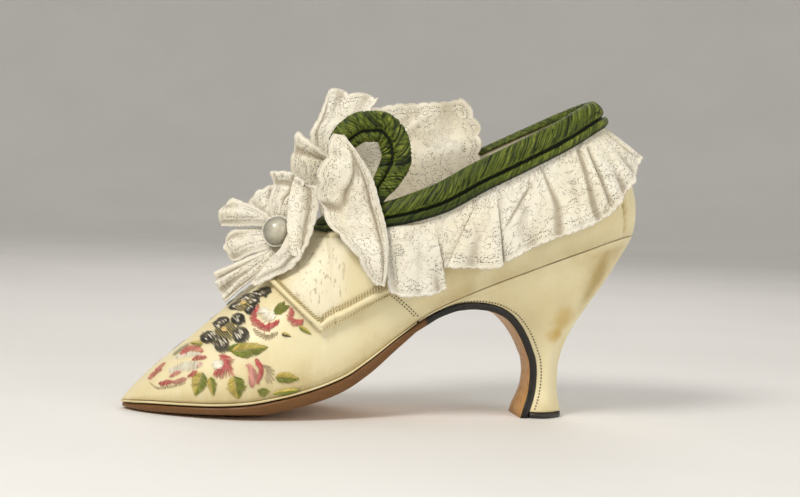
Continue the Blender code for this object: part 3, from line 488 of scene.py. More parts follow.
FLOOR_FLAT = 1800.0
FLOOR_BEND = 1400.0
WALL_TOP = 3000.0
FLOOR_AROUND = 96
SKY_COLOUR = (0.90, 0.885, 0.86, 1.0)
SKY_STRENGTH = 0.60
LIT_PLACE = (-0.06, 0.0, 0.06)
LIGHTS = (
    ("key_light", (-0.62, -0.62, 0.95), 0.45, 9.0, (1.0, 0.965, 0.91)),
    ("fill_light", (0.75, -0.70, 0.45), 0.9, 3.2, (0.98, 0.98, 0.97)),
    ("back_light", (0.15, 0.85, 0.85), 0.7, 2.4, (1.0, 0.98, 0.95)),
)


# Settings that a user would change


def length_setting(name, description, default):
    return FloatProperty(name=name, description=description, default=default, min=0.0, unit="LENGTH")


def colour_setting(name, description, default):
    return FloatVectorProperty(name=name, description=description, default=default, min=0.0, max=1.0, subtype="COLOR")


class ShoeSizes(bpy.types.PropertyGroup):
    """Sizes of the shoe's cloth, thread and trim"""

    wall: length_setting("Wall", "Thickness of satin, interlining and lining", 0.0018)
    lace: length_setting("Lace", "Thickness of the lace", 0.00045)
    scallop_pitch: length_setting("Scallop Pitch", "Width of one scallop of the lace edge", 0.0040)
    scallop_depth: length_setting("Scallop Depth", "How far a scallop stands out", 0.0007)
    hem_radius: length_setting("Hem Radius", "Radius of the cord in the lace edge", 0.00036)
    gather_pitch: length_setting("Gather Pitch", "Distance between gathers of the ribbon", 0.0025)
    gather_depth: length_setting("Gather Depth", "Depth of the ribbon's gathers", 0.0008)
    thread_radius: length_setting("Thread Radius", "Radius of an embroidery thread", 0.00021)
    thread_pitch: length_setting("Thread Pitch", "Distance between embroidery threads", 0.00046)
    stitch_pitch: length_setting("Stitch Pitch", "Distance between sewing stitches", 0.0017)
    pearl_radius: length_setting("Pearl Radius", "Radius of the pearl button", 0.0061)
    ribbon_fill: FloatProperty(
        name="Ribbon Fill",
        description="How full the ribbon's puffs are",
        default=0.55,
        min=0.0,
        max=1.0,
        subtype="FACTOR",
    )
    seed: IntProperty(name="Seed", description="Seed of the irregular gathers and threads", default=7, min=0)


class ShoeColours(bpy.types.PropertyGroup):
    """Colours of the shoe's finishes"""

    satin: colour_setting("Satin", "Ivory satin of vamp and quarters", (0.87, 0.775, 0.485))
    satin_aged: colour_setting("Aged Satin", "Yellowed satin", (0.68, 0.52, 0.20))
    lining: colour_setting("Lining", "Linen inside", (0.80, 0.73, 0.56))
    lace: colour_setting("Lace", "Lace thread", (0.90, 0.86, 0.735))
    lace_ground: colour_setting("Lace Ground", "Net between the worked parts of the lace", (0.50, 0.44, 0.33))
    # The pinholes are not cut; they are painted dark as painted shade.
    lace_hole: colour_setting("Lace Hole", "Pinholes of the lace", (0.10, 0.08, 0.06))
    ribbon: colour_setting("Ribbon", "Green ribbon", (0.082, 0.112, 0.011))
    # The crest colour is a painted highlight and the crease colour a painted shade, which also draws the ribbon's dark
    # feathered strokes.
    ribbon_light: colour_setting("Ribbon Crest", "Lit crests of the ribbon", (0.265, 0.285, 0.045))
    ribbon_dark: colour_setting("Ribbon Crease", "Creases of the ribbon", (0.007, 0.013, 0.003))
    sole_edge: colour_setting("Sole Edge", "Brown edge of the sole", (0.130, 0.052, 0.008))
    sole_face: colour_setting("Sole Face", "Tan face of the sole", (0.62, 0.31, 0.06))
    black: colour_setting("Black Edge", "Blacked leather of waist and heel tip", (0.012, 0.010, 0.008))
    pearl: colour_setting("Pearl", "Pearl button", (0.50, 0.46, 0.34))
    braid_thread: colour_setting("Braid Thread", "Thread of braid and seams", (0.33, 0.25, 0.11))
    thread_red: colour_setting("Red Thread", "Embroidery thread", (0.55, 0.075, 0.080))
    thread_pink: colour_setting("Pink Thread", "Embroidery thread", (0.66, 0.30, 0.25))
    thread_green: colour_setting("Green Thread", "Embroidery thread", (0.195, 0.230, 0.024))
    thread_olive: colour_setting("Olive Thread", "Embroidery thread", (0.60, 0.48, 0.105))
    thread_black: colour_setting("Black Thread", "Embroidery thread", (0.020, 0.020, 0.016))
    thread_grey: colour_setting("Grey Thread", "Embroidery thread", (0.42, 0.34, 0.22))
    thread_white: colour_setting("White Thread", "Embroidery thread", (0.96, 0.90, 0.74))
    thread_ochre: colour_setting("Ochre Thread", "Embroidery thread", (0.66, 0.47, 0.19))


def sizes():
    return bpy.context.scene.shoe_sizes


def millimetres(name):
    return getattr(sizes(), name) / MM


def colour(name):
    return tuple(getattr(bpy.context.scene.shoe_colours, name))


# Smooth tables and the last


def smooth_table(rows, knots=None, odd_start=None, odd_end=None):
    """A function through a table's rows, with no overshoot between them, for one place or many."""
    values = np.array(rows, float)
    at = np.arange(len(values), dtype=float) if knots is None else np.array(knots, float)
    ends = []
    for odd, edge, inner in ((odd_start, 0, 1), (odd_end, -1, -2)):
        across = values[inner].copy()
        if odd is None:
            across = 2 * values[edge] - values[inner]
        else:
            across[list(odd)] = 2 * values[edge, list(odd)] - values[inner, list(odd)]
        ends.append((across, 2 * at[edge] - at[inner]))
    whole = np.vstack([ends[0][0], values, ends[1][0]])
    places = np.concatenate([[ends[0][1]], at, [ends[1][1]]])
    secant = np.diff(whole, axis=0) / np.diff(places)[:, None]
    before, after = secant[:-1], secant[1:]
    same_way = before * after > 0
    slope = np.where(same_way, 2 * before * after / np.where(same_way, before + after, 1.0), 0.0)

    def value(place):
        place = np.asarray(place, float)
        k = np.clip(np.searchsorted(at, place) - 1, 0, len(at) - 2)
        span = (at[k + 1] - at[k])[..., None]
        s = (place - at[k])[..., None] / span
        return (
            (1 + 2 * s) * (1 - s) ** 2 * values[k]
            + s * (1 - s) ** 2 * span * slope[k]
            + s * s * (3 - 2 * s) * values[k + 1]
            + s * s * (s - 1) * span * slope[k + 1]
        )

    return value


def ramp(low, high, value):
    s = np.clip((np.asarray(value, float) - low) / (high - low), 0.0, 1.0)
    return s * s * (3 - 2 * s)


def bump(off, width):
    """A smooth bump, 1 where off is 0."""
    return np.exp(-((off / width) ** 2))


def wave(turns):
    return np.sin(2 * math.pi * turns)


def unit(vectors):
    return vectors / np.maximum(np.linalg.norm(vectors, axis=-1, keepdims=True), 1e-9)


def mirrored(points):
    return np.asarray(points) * (1.0, -1.0, 1.0)


foot_line = smooth_table(FOOT_ROWS, odd_start=(1,), odd_end=(1, 5))
ridge_line = smooth_table(RIDGE_ROWS)
topline = smooth_table(TOPLINE_ROWS, odd_start=(1,), odd_end=(1,))
sole_line = smooth_table([row[1:] for row in SOLE_ROWS], [row[0] for row in SOLE_ROWS])
heel_line = smooth_table(HEEL_ROWS)


def upper_point(row, t):
    """Points of the upper's outer face on the near side, t from 0 at the foot line to 1 at the top."""
    row, t = np.broadcast_arrays(np.asarray(row, float), np.asarray(t, float))
    x, half, z, belly, rise, turn = np.moveaxis(foot_line(row), -1, 0)
    turn = np.radians(turn)
    out = np.stack([np.sin(turn), -np.cos(turn), 0 * turn], -1)
    up = np.array((0.0, 0.0, 1.0))
    ridge = ridge_line(np.minimum(row, THROAT))
    top = topline(np.maximum(row - THROAT, 0.0))
    on_vamp = (row <= THROAT)[..., None]
    crown = np.where(on_vamp, np.stack([ridge[..., 0], 0 * x, ridge[..., 1]], -1), top[..., :3] * (1, -1, 1))
    lean = np.where(on_vamp, ridge[..., 2:3], top[..., 3:4])
    drop = np.where(on_vamp, 0.0, top[..., 4:5])
    foot = np.stack([x, -half, z], -1)
    s, t = (1 - t)[..., None], t[..., None]
    low = foot + belly[..., None] * out + rise[..., None] * up
    high = crown + lean * out - drop * up
    return s**3 * foot + 3 * s * s * t * low + 3 * s * t * t * high + t**3 * crown


def upper_normal(row, t):
    """Outward normals of the upper's outer face."""
    row, t = np.broadcast_arrays(np.asarray(row, float), np.asarray(t, float))
    step = 0.02
    on_vamp = row <= THROAT
    ahead = np.minimum(row + step, np.where(on_vamp, THROAT, BACK))
    behind = np.maximum(row - step, np.where(on_vamp, 0.0, THROAT + 1e-6))
    along = upper_point(ahead, t) - upper_point(behind, t)
    up = upper_point(row, np.minimum(t + step, 1.0)) - upper_point(row, np.maximum(t - step, 0.0))
    normal = np.cross(along, up)
    normal[row == 0.0] = (-1.0, 0.0, 0.2)
    normal[(row == BACK) | ((t == 1.0) & on_vamp), 1] = 0.0
    return unit(normal)


def offset_point(row, t, distance):
    return upper_point(row, t) + np.asarray(distance)[..., None] * upper_normal(row, t)


def t_at_height(row, z):
    """Where sections reach that height, or their nearer end."""
    row, z = np.broadcast_arrays(np.asarray(row, float), np.asarray(z, float))
    low, high = np.zeros(row.shape), np.ones(row.shape)
    for _ in range(30):
        middle = (low + high) / 2
        below = upper_point(row, middle)[..., 2] < z
        low, high = np.where(below, middle, low), np.where(below, high, middle)
    return np.where(upper_point(row, 1.0)[..., 2] <= z, 1.0, low)


def t_below_top(rows, distances):
    """Where sections lie that far below their top."""
    low, high = np.zeros(rows.shape), np.ones(rows.shape)
    ts = np.linspace(1.0, 0.0, 61)
    table = np.linspace(THROAT, BACK, 241)
    points = upper_point(table[:, None], ts[None])
    gone = arc(points.swapaxes(0, 1)).T
    at = np.clip((rows - THROAT) / (BACK - THROAT) * (len(table) - 1), 0, len(table) - 1.001)
    k, share = at.astype(int), at % 1
    for _ in range(24):
        middle = (low + high) / 2
        place = np.clip((1 - middle) * (len(ts) - 1), 0, len(ts) - 1.001)
        j, part = place.astype(int), place % 1
        here = (1 - share) * ((1 - part) * gone[k, j] + part * gone[k, j + 1])
        here = here + share * ((1 - part) * gone[k + 1, j] + part * gone[k + 1, j + 1])
        low, high = np.where(here > distances, middle, low), np.where(here > distances, high, middle)
    return (low + high) / 2


def on_side(places):
    """Foot row and t of places given by x and z in side view.

    Towards the ridge the side view shortens the vamp, so there the places keep the scale of the vamp's side.
    """
    places = np.asarray(places, float)
    x, z = places[..., 0], places[..., 1]
    rows = np.linspace(0.0, 12.0, 600)
    row = np.interp(x, foot_line(rows)[..., 0], rows)
    for _ in range(5):
        foot, ridge = upper_point(row, 0.0)[..., 2], upper_point(row, 1.0)[..., 2]
        bend = foot + 0.70 * (ridge - foot)
        turn = t_at_height(row, bend)
        above = turn + (z - bend) * (turn - t_at_height(row, bend - 1.0))
        t = np.where(z > bend, np.minimum(above, 0.975), t_at_height(row, z))
        here, ahead = upper_point(row, t)[..., 0], upper_point(row + 0.05, t)[..., 0]
        row = np.clip(row + 0.05 * (x - here) / np.maximum(ahead - here, 0.05), 0.02, 12.0)
    return row, t


def outline_rows(density=1.0):
    """Foot rows of the upper's columns, closer round toe, throat and back."""
    stops = ((0, 1, 14), (1, 2, 10), (2, THROAT, 50), (THROAT, THROAT + 2, 26), (THROAT + 2, 17, 60), (17, BACK, 44))
    parts = [np.linspace(a, b, int(n * density) + 1)[1:] for a, b, n in stops]
    return np.concatenate([[0.0], *parts])


def foot_outline(row, inwards):
    """Points of the foot line on the near side, moved inwards in plan."""
    row = np.asarray(row, float)
    ahead, behind = foot_line(np.minimum(row + 0.02, BACK)), foot_line(np.maximum(row - 0.02, 0.0))
    along = np.stack([ahead[..., 0] - behind[..., 0], behind[..., 1] - ahead[..., 1]], -1)
    along[row == 0.0] = (0.0, -1.0)
    along[row == BACK] = (0.0, 1.0)
    along = unit(along)
    x, half, z = np.moveaxis(foot_line(row)[..., :3], -1, 0)
    return np.stack([x - along[..., 1] * inwards, np.minimum(-half + along[..., 0] * inwards, 0.0), z], -1)


def closed_curve(points, count):
    """Points spaced evenly along a smooth closed curve through some points."""
    points = np.asarray(points, float)
    n = len(points)
    place = np.linspace(0, n, 40 * n, endpoint=False)
    k, s = place.astype(int), (place % 1)[:, None]
    p = [points[(k + o) % n] for o in (-1, 0, 1, 2)]
    curve = p[1] + s / 2 * (
        p[2] - p[0] + s * (2 * p[0] - 5 * p[1] + 4 * p[2] - p[3] + s * (3 * (p[1] - p[2]) + p[3] - p[0]))
    )
    steps = np.linalg.norm(np.roll(curve, -1, 0) - curve, axis=1)
    gone = np.concatenate([[0], steps.cumsum()])
    at = np.linspace(0, gone[-1], count, endpoint=False)
    wrapped = np.vstack([curve, curve[:1]])
    return np.stack([np.interp(at, gone, wrapped[:, c]) for c in range(points.shape[1])], -1)


def arc(points):
    """Length gone along a line of points."""
    steps = np.linalg.norm(np.diff(points, axis=0), axis=-1)
    return np.concatenate([np.zeros((1, *steps.shape[1:])), steps.cumsum(axis=0)])


def wobble(at, period, seed, first, last):
    """A smooth irregular line, mostly between -1 and 1, of waves that fit a period first to last times."""
    rng = np.random.default_rng(seed)
    total = np.zeros_like(at)
    for k in range(first, last + 1):
        total = total + rng.normal() * wave(k * at / period + rng.random())
    return total / math.sqrt(last - first + 1)


# Pieces


def grid_quads(columns, levels, start=0, wrap=False, round_section=False, flip=False):
    """Quads of a grid of points, closed along its columns or round its levels where asked."""
    i = np.arange(columns if wrap else columns - 1)[:, None]
    j = np.arange(levels if round_section else levels - 1)[None]
    a, b = i * levels, (i + 1) % columns * levels
    k = (j + 1) % levels
    quads = np.stack([a + j, b + j, b + k, a + k], -1).reshape(-1, 4) + start
    return quads[:, ::-1] if flip else quads


def grid_uv(uv):
    """Corner coordinates for the quads of a grid, from a grid with one more line where it closes."""
    return np.stack([uv[:-1, :-1], uv[1:, :-1], uv[1:, 1:], uv[:-1, 1:]], 2).reshape(-1, 2)


def end_faces(count, around):
    return [list(range(around)), list(range((count - 1) * around, count * around))]


def write_marks(mesh, marks):
    """Numbers, vectors or colours for the points of a mesh."""
    kinds = {"away": ("FLOAT_VECTOR", "vector"), "thread_colour": ("FLOAT_COLOR", "color")}
    for name, values in marks.items():
        kind, field = kinds.get(name, ("FLOAT", "value"))
        mesh.attributes.new(name, kind, "POINT").data.foreach_set(field, np.asarray(values, np.float32).ravel())


def in_scene(name, data):
    made = bpy.data.objects.new(name, data)
    bpy.context.scene.collection.objects.link(made)
    return made


def new_piece(name, points, faces, materials, which=None, uv=None, marks=None, outwards=False, mend=False):
    """A smooth-shaded object at the origin, from points in millimetres."""
    mesh = bpy.data.meshes.new(name)
    mesh.from_pydata((np.asarray(points) * MM).tolist(), [], [list(map(int, face)) for face in faces])
    for finish in materials:
        mesh.materials.append(finish)
    if which is not None:
        mesh.polygons.foreach_set("material_index", np.asarray(which, np.int32))
    if uv is not None:
        mesh.uv_layers.new(name="cloth").data.foreach_set("uv", np.asarray(uv, np.float32).ravel())
    write_marks(mesh, marks or {})
    if outwards or mend:
        body = bmesh.new()
        body.from_mesh(mesh)
        if mend:
            bmesh.ops.remove_doubles(body, verts=body.verts, dist=2e-3 * MM)
            bmesh.ops.dissolve_degenerate(body, edges=body.edges, dist=1e-3 * MM)
        bmesh.ops.recalc_face_normals(body, faces=body.faces)
        body.to_mesh(mesh)
        body.free()
    mesh.shade_smooth()
    return in_scene(name, mesh)


def settle(piece, slot, *nodes):
    """Ties a piece to the frame, in place of the solids that it stands for."""
    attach(piece, "root")
    if nodes:
        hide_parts(*nodes)
    return piece


def thickened(outer, inner, quads):
    """Points and faces of the solid between two sheets, and which of the faces belong to the outer one."""
    seen = {}
    first = np.array([seen.setdefault(tuple(p), i) for i, p in enumerate(np.round(outer, 4).tolist())])
    sheet = []
    for face in first[quads].tolist():
        corners = [c for k, c in enumerate(face) if c != face[k - 1]]
        if len(corners) > 2:
            sheet.append(corners)
    edges = {(a, face[(k + 1) % len(face)]) for face in sheet for k, a in enumerate(face)}
    count = len(outer)
    rims = [(b, a, a + count, b + count) for a, b in sorted(edges) if (b, a) not in edges]
    under = [[i + count for i in reversed(face)] for face in sheet]
    which = [0] * len(sheet) + [1] * (len(under) + len(rims))
    return np.vstack([outer, inner]), sheet + under + rims, which


def two_sided(near):
    """A grid on the near side and its mirror image, with their quads."""
    columns, levels = near.shape[:2]
    points = np.vstack([near.reshape(-1, 3), mirrored(near.reshape(-1, 3))])
    quads = np.vstack([grid_quads(columns, levels), grid_quads(columns, levels, columns * levels, flip=True)])
    return points, quads


def shell_piece(name, outer, inner, soil, finish, lining=None):
    """A closed piece between two sheets of the near side and their mirror images; a lining is left clean and unshaded.
    """
    points, quads = two_sided(outer)
    points, faces, which = thickened(points, two_sided(inner)[0], quads)
    under = 0 * soil if lining else soil
    marks = {"soil": np.concatenate([soil, soil, under, under], axis=None)}
    if lining:
        return new_piece(name, points, faces, [finish, lining], which, marks=marks, mend=True)
    return new_piece(name, points, faces, [finish], marks=marks, mend=True)


def ring_piece(name, rings, finish, marks=None):
    """A closed piece lofted through sections, with a flat end at both of its ends."""
    count, around = rings.shape[:2]
    faces = grid_quads(count, around, round_section=True).tolist() + end_faces(count, around)
    return new_piece(name, rings.reshape(-1, 3), faces, [finish], marks=marks, mend=True)


def skin():
    """The outer face of the upper, for what lies on it."""
    rows, ts = outline_rows(0.6), np.linspace(0, 1, 31)
    points, quads = two_sided(upper_point(rows[:, None], ts[None]))
    return BVHTree.FromPolygons([Vector(p) for p in points], quads.tolist())


# Node trees


class Nodes:
    """A node tree under construction."""

    def __init__(self, tree):
        self.tree = tree

    def feed(self, socket, value):
        if isinstance(value, bpy.types.NodeSocket):
            self.tree.links.new(value, socket)
        else:
            socket.default_value = value

    def put(self, kind, inputs=None, **settings):
        """The outputs of a new node, with its settings made and its inputs linked or set."""
        made = self.tree.nodes.new(kind)
        for key, value in settings.items():
            setattr(made, key, value)
        for key, value in (inputs or {}).items():
            self.feed(made.inputs[key], value)
        return made.outputs

    def calc(self, operation, *values):
        return self.put("ShaderNodeMath", dict(enumerate(values)), operation=operation)[0]

    def vector(self, operation, *values):
        return self.put("ShaderNodeVectorMath", dict(enumerate(values)), operation=operation)

    def product(self, first, *others):
        for other in others:
            first = self.calc("MULTIPLY", first, other)
        return first

    def most(self, first, *others):
        for other in others:
            first = self.calc("MAXIMUM", first, other)
        return first

    def line(self, value, by, plus):
        """A value times a number, plus another."""
        return self.calc("MULTIPLY_ADD", value, by, plus)

    def band(self, value, low, high, start=0.0, end=1.0):
        """A smooth ramp from start at low to end at high."""
        inputs = {"Value": value, "From Min": low, "From Max": high, "To Min": start, "To Max": end}
        return self.put("ShaderNodeMapRange", inputs, interpolation_type="SMOOTHSTEP")[0]

    def noise(self, place, scale, detail=3.0, roughness=0.5, distortion=0.0):
        inputs = {"Vector": place, "Scale": scale, "Detail": detail, "Roughness": roughness, "Distortion": distortion}
        return self.put("ShaderNodeTexNoise", inputs)["Fac"]

    def layers(self, tone, *others, mode="MIX"):
        """A colour under others, each with the factor that it shows by and the share of it that counts."""
        for other, factor, *share in others:
            factor = self.product(factor, *share)
            first, second = ((*c, 1.0) if isinstance(c, tuple) else c for c in (tone, other))
            tone = self.put("ShaderNodeMix", {0: factor, 6: first, 7: second}, data_type="RGBA", blend_type=mode)[2]
        return tone

    def painted(self, geometry, given):
        solid = self.put("GeometryNodeRealizeInstances", {"Geometry": geometry})[0]
        smooth = self.put("GeometryNodeSetShadeSmooth", {"Geometry": solid})[0]
        inputs = {"Geometry": smooth, "Material": given["Material"]}
        return {"Geometry": self.put("GeometryNodeSetMaterial", inputs)[0]}


def tree_once(kind, inputs, outputs):
    """Makes a tree the first time that it is asked for, under its function's name and with these sockets."""

    def wrap(build):
        def ask():
            tree = bpy.data.node_groups.get(build.__name__)
            if tree is None:
                tree = bpy.data.node_groups.new(build.__name__, kind)
                for in_out, sockets in (("INPUT", inputs), ("OUTPUT", outputs)):
                    for label, socket in sockets.items():
                        tree.interface.new_socket(label, in_out=in_out, socket_type=f"NodeSocket{socket}")
                given, end = tree.nodes.new("NodeGroupInput").outputs, tree.nodes.new("NodeGroupOutput").inputs
                for label, value in build(Nodes(tree), given).items():
                    tree.links.new(value, end[label])
            return tree

        return ask

    return wrap


def geometry_tree(**inputs):
    labels = {key.replace("_", " "): kind for key, kind in inputs.items()}
    inputs = {"Geometry": "Geometry", **labels, "Material": "Material"}
    return tree_once("GeometryNodeTree", inputs, {"Geometry": "Geometry"})


def shader_group(inputs, outputs):
    return tree_once("ShaderNodeTree", inputs, {label: "Float" for label in outputs})


@geometry_tree(Radius="Float", Sides="Int")
def swept_thread(net, given):
    """Sweeps a round thread along every line of a mesh, with its own thickness at each point."""
    lines = net.put("GeometryNodeMeshToCurve", {"Mesh": given["Geometry"]})[0]
    circle = {"Resolution": given["Sides"], "Radius": given["Radius"]}
    ring = net.put("GeometryNodeCurvePrimitiveCircle", circle)[0]
    share = net.put("GeometryNodeInputNamedAttribute", {"Name": "thickness"}, data_type="FLOAT")[0]
    sweep = {"Curve": lines, "Profile Curve": ring, "Scale": share, "Fill Caps": True}
    return net.painted(net.put("GeometryNodeCurveToMesh", sweep)[0], given)


@geometry_tree(Pitch="Float", Stitch_Size="Vector", Slant="Float", Looseness="Float", Seed="Int")
def stitch_row(net, given):
    """Sets stitches along every line of a mesh, lying on the surface that the line runs on."""
    lines = net.put("GeometryNodeMeshToCurve", {"Mesh": given["Geometry"]})[0]
    even = net.put("GeometryNodeResampleCurve", {"Curve": lines, "Length": given["Pitch"]}, mode="LENGTH")[0]
    bead = net.put("GeometryNodeMeshUVSphere", {"Segments": 6, "Rings": 4, "Radius": 0.5})[0]
    tangent = net.put("GeometryNodeInputTangent")[0]
    away = net.put("GeometryNodeInputNamedAttribute", {"Name": "away"}, data_type="FLOAT_VECTOR")[0]
    align = "FunctionNodeAlignRotationToVector"
    along = net.put(align, {"Vector": tangent}, axis="X")[0]
    flat = net.put(align, {"Rotation": along, "Vector": away}, axis="Z", pivot_axis="X")[0]
    loose = {2: net.product(given["Looseness"], -1.0), 3: given["Looseness"], "Seed": given["Seed"]}
    angle = net.calc("ADD", given["Slant"], net.put("FunctionNodeRandomValue", loose, data_type="FLOAT")[1])
    turn = net.put("FunctionNodeAxisAngleToRotation", {"Axis": (0.0, 0.0, 1.0), "Angle": angle})[0]
    slanted = net.put("FunctionNodeRotateRotation", {0: flat, 1: turn}, rotation_space="LOCAL")[0]
    stitch = {"Points": even, "Instance": bead, "Rotation": slanted, "Scale": given["Stitch Size"]}
    return net.painted(net.put("GeometryNodeInstanceOnPoints", stitch)[0], given)


def grown(name, lines, tree, marks, **values):
    """A plain mesh that a tree grows on lines of points in millimetres."""
    edges, start = [], 0
    for line in lines:
        edges += [(start + k, start + k + 1) for k in range(len(line) - 1)]
        start += len(line)
    mesh = bpy.data.meshes.new(name)
    mesh.from_pydata((np.vstack(lines) * MM).tolist(), edges, [])
    write_marks(mesh, marks)
    made = in_scene(name, mesh)
    modifier = made.modifiers.new("grow", "NODES")
    modifier.node_group = tree
    for item in tree.interface.items_tree:
        key = item.name.lower().replace(" ", "_")
        if item.in_out == "INPUT" and key in values:
            modifier[item.identifier] = values[key]
    graph = bpy.context.evaluated_depsgraph_get()
    solid = bpy.data.meshes.new_from_object(made.evaluated_get(graph))
    made.modifiers.remove(modifier)
    made.data = solid
    bpy.data.meshes.remove(mesh)
    if not solid.polygons:
        raise RuntimeError(f"{name} grew no faces")
    return made


def cord_piece(name, lines, radius, finish, sides=6):
    """Cords of one radius in metres, swept along lines in millimetres."""
    marks = {"thickness": np.ones(sum(map(len, lines)))}
    return grown(name, lines, swept_thread(), marks, radius=radius, sides=sides, material=finish)


def stitches(name, rows, finish, pitch, size, slant=0.0):
    """Stitches along rows, each of them points in millimetres and the directions away from the cloth."""
    lines, away = zip(*rows)
    sewn = {"pitch": pitch, "stitch_size": size, "slant": slant, "looseness": STITCH_LOOSENESS, "seed": sizes().seed}
    return grown(name, lines, stitch_row(), {"away": np.vstack(away)}, material=finish, **sewn)


def both_sides(line, away):
    """A row of stitches on the near side, and its mirror image."""
    return [(line, away), (mirrored(line), mirrored(away))]


# Shader groups


@shader_group({"Coordinates": "Vector", "Threads per Metre": "Float"}, ("Height", "Thread Tone"))
def plain_weave(net, given):
    """Crossing threads of a plain cloth."""
    x, y, z = net.put("ShaderNodeSeparateXYZ", {0: given["Coordinates"]})
    turns = net.product(given["Threads per Metre"], 2 * math.pi)
    warp = net.calc("SINE", net.product(net.calc("ADD", x, net.product(y, 0.7)), turns))
    weft = net.calc("SINE", net.product(z, turns))
    tone = net.noise(given["Coordinates"], 900.0, 2.0)
    return {"Height": net.line(net.product(warp, weft), 0.5, 0.5), "Thread Tone": tone}


@shader_group({"Coordinates": "Vector", "Patch Scale": "Float"}, ("Patches", "Streaks", "Specks"))
def ageing(net, given):
    """Broad uneven yellowing, soft streaks and small specks of old cloth and leather."""
    place, scale = given["Coordinates"], given["Patch Scale"]
    patches = net.noise(place, scale, 4.0, 0.55, 0.4)
    drawn = net.vector("MULTIPLY", place, (14.0, 14.0, 1.0))[0]
    streaks = net.noise(drawn, net.product(scale, 1.2), 3.0)
    dots = net.put("ShaderNodeTexVoronoi", {"Vector": place, "Scale": 240.0})["Distance"]
    specks = net.band(dots, 0.06, 0.16, 1.0, 0.0)
    return {"Patches": net.band(patches, 0.36, 0.72), "Streaks": net.band(streaks, 0.52, 0.74), "Specks": specks}


@shader_group({"Coordinates": "Vector", "Grain Scale": "Float"}, ("Height", "Scuffs", "Layers"))
def leather_grain(net, given):
    """Fine grain, scuffs and layers of sole leather."""
    place, scale = given["Coordinates"], given["Grain Scale"]
    pores = net.put("ShaderNodeTexVoronoi", {"Vector": place, "Scale": scale})["Distance"]
    height = net.line(pores, 0.6, net.noise(place, scale, 4.0))
    drawn, flat = (net.vector("MULTIPLY", place, by)[0] for by in ((1.0, 5.0, 5.0), (0.12, 0.12, 3.0)))
    scuffs = net.band(net.noise(drawn, 60.0, 6.0, 0.65), 0.45, 0.75)
    return {"Height": height, "Scuffs": scuffs, "Layers": net.noise(flat, 420.0, 2.0)}


@shader_group({"Cloth": "Vector", "From Edge": "Float", "Motif Scale": "Float"}, ("Ground", "Holes", "Height"))
def needle_lace(net, given):
    """Worked flowers, net ground, pinholes and border rows of needle lace, on cloth coordinates in mm."""
    cloth, edge = given["Cloth"], given["From Edge"]

    def drawn_at(value, at, half):
        """A thin line where a value is at a number."""
        off = net.calc("ABSOLUTE", net.calc("SUBTRACT", value, at))
        return net.band(off, 0.4 * half, 1.4 * half, 1.0, 0.0)

    def cells(scale, randomness, feature="F1"):
        inputs = {"Vector": cloth, "Scale": scale, "Randomness": randomness}
        return net.put("ShaderNodeTexVoronoi", inputs, voronoi_dimensions="2D", feature=feature)

    # Flowers with five petals and an eye, and scrolls between them
    flower = cells(given["Motif Scale"], 0.85)
    off = net.vector("SUBTRACT", cloth, flower["Position"])[0]
    away = net.vector("LENGTH", off)["Value"]
    apart = net.put("ShaderNodeSeparateXYZ", {0: off})
    spun = net.put("ShaderNodeSeparateColor", {0: flower["Color"]})[0]
    turn = net.line(spun, 6.28, net.calc("ARCTAN2", apart[1], apart[0]))
    lobes = net.calc("ABSOLUTE", net.calc("COSINE", net.product(turn, 2.5)))
    reach = net.calc("SUBTRACT", away, net.product(lobes, 1.9))
    petals = net.most(drawn_at(reach, 2.2, 0.30), drawn_at(away, 1.0, 0.26))
    inside = net.band(reach, 2.0, 2.5, 1.0, 0.0)
    rings = net.calc("FRACT", net.product(net.noise(cloth, 0.085, 2.0, 0.5, 1.2), 5.2))
    scroll = net.product(drawn_at(rings, 0.5, 0.13), net.band(reach, 2.6, 3.2))
    plain = net.band(net.noise(cloth, 0.07, 2.0), 0.38, 0.58, 0.40, 1.0)
    drawn = net.product(net.most(petals, scroll), plain)
    # Pinholes lie along the drawn lines, in two rows of the border, and here and there in the ground.
    fine = cells(1.26, 0.60)
    dots = net.band(fine["Distance"], 0.26, 0.43, 1.0, 0.0)
    picked = net.put("ShaderNodeSeparateColor", {0: fine["Color"]})
    ground = net.band(net.noise(cloth, 0.16, 4.0, 0.65), 0.42, 0.64)
    along = net.product(drawn, net.band(picked[0], 0.10, 0.40, 0.25, 1.0))
    loose = net.product(net.band(picked[1], 0.80, 0.90), net.line(ground, 0.7, 0.15))
    broken = net.band(net.noise(cloth, 0.12, 2.0), 0.38, 0.50, 0.2, 1.0)
    rows = net.product(net.most(drawn_at(edge, 2.6, 0.42), drawn_at(edge, 4.4, 0.42)), broken)
    within = net.band(edge, 1.4, 2.2)
    holes = net.product(net.most(along, loose, rows), dots, within)
    mesh = net.band(cells(1.9, 1.0, "DISTANCE_TO_EDGE")["Distance"], 0.02, 0.22, 1.0, 0.0)
    open_ground = net.product(net.calc("SUBTRACT", 1.0, inside), net.line(mesh, 0.45, ground))
    shade = net.most(net.product(open_ground, 0.50), net.product(drawn, 0.75))
    hem = net.product(drawn_at(edge, 1.6, 0.34), 0.8)
    raised = net.line(inside, 0.35, net.product(mesh, 0.3))
    cut = net.line(holes, 0.7, net.product(drawn, 0.4))
    height = net.calc("SUBTRACT", raised, cut)
    return {"Ground": net.most(net.product(shade, within), hem), "Holes": holes, "Height": height}


# Finishes


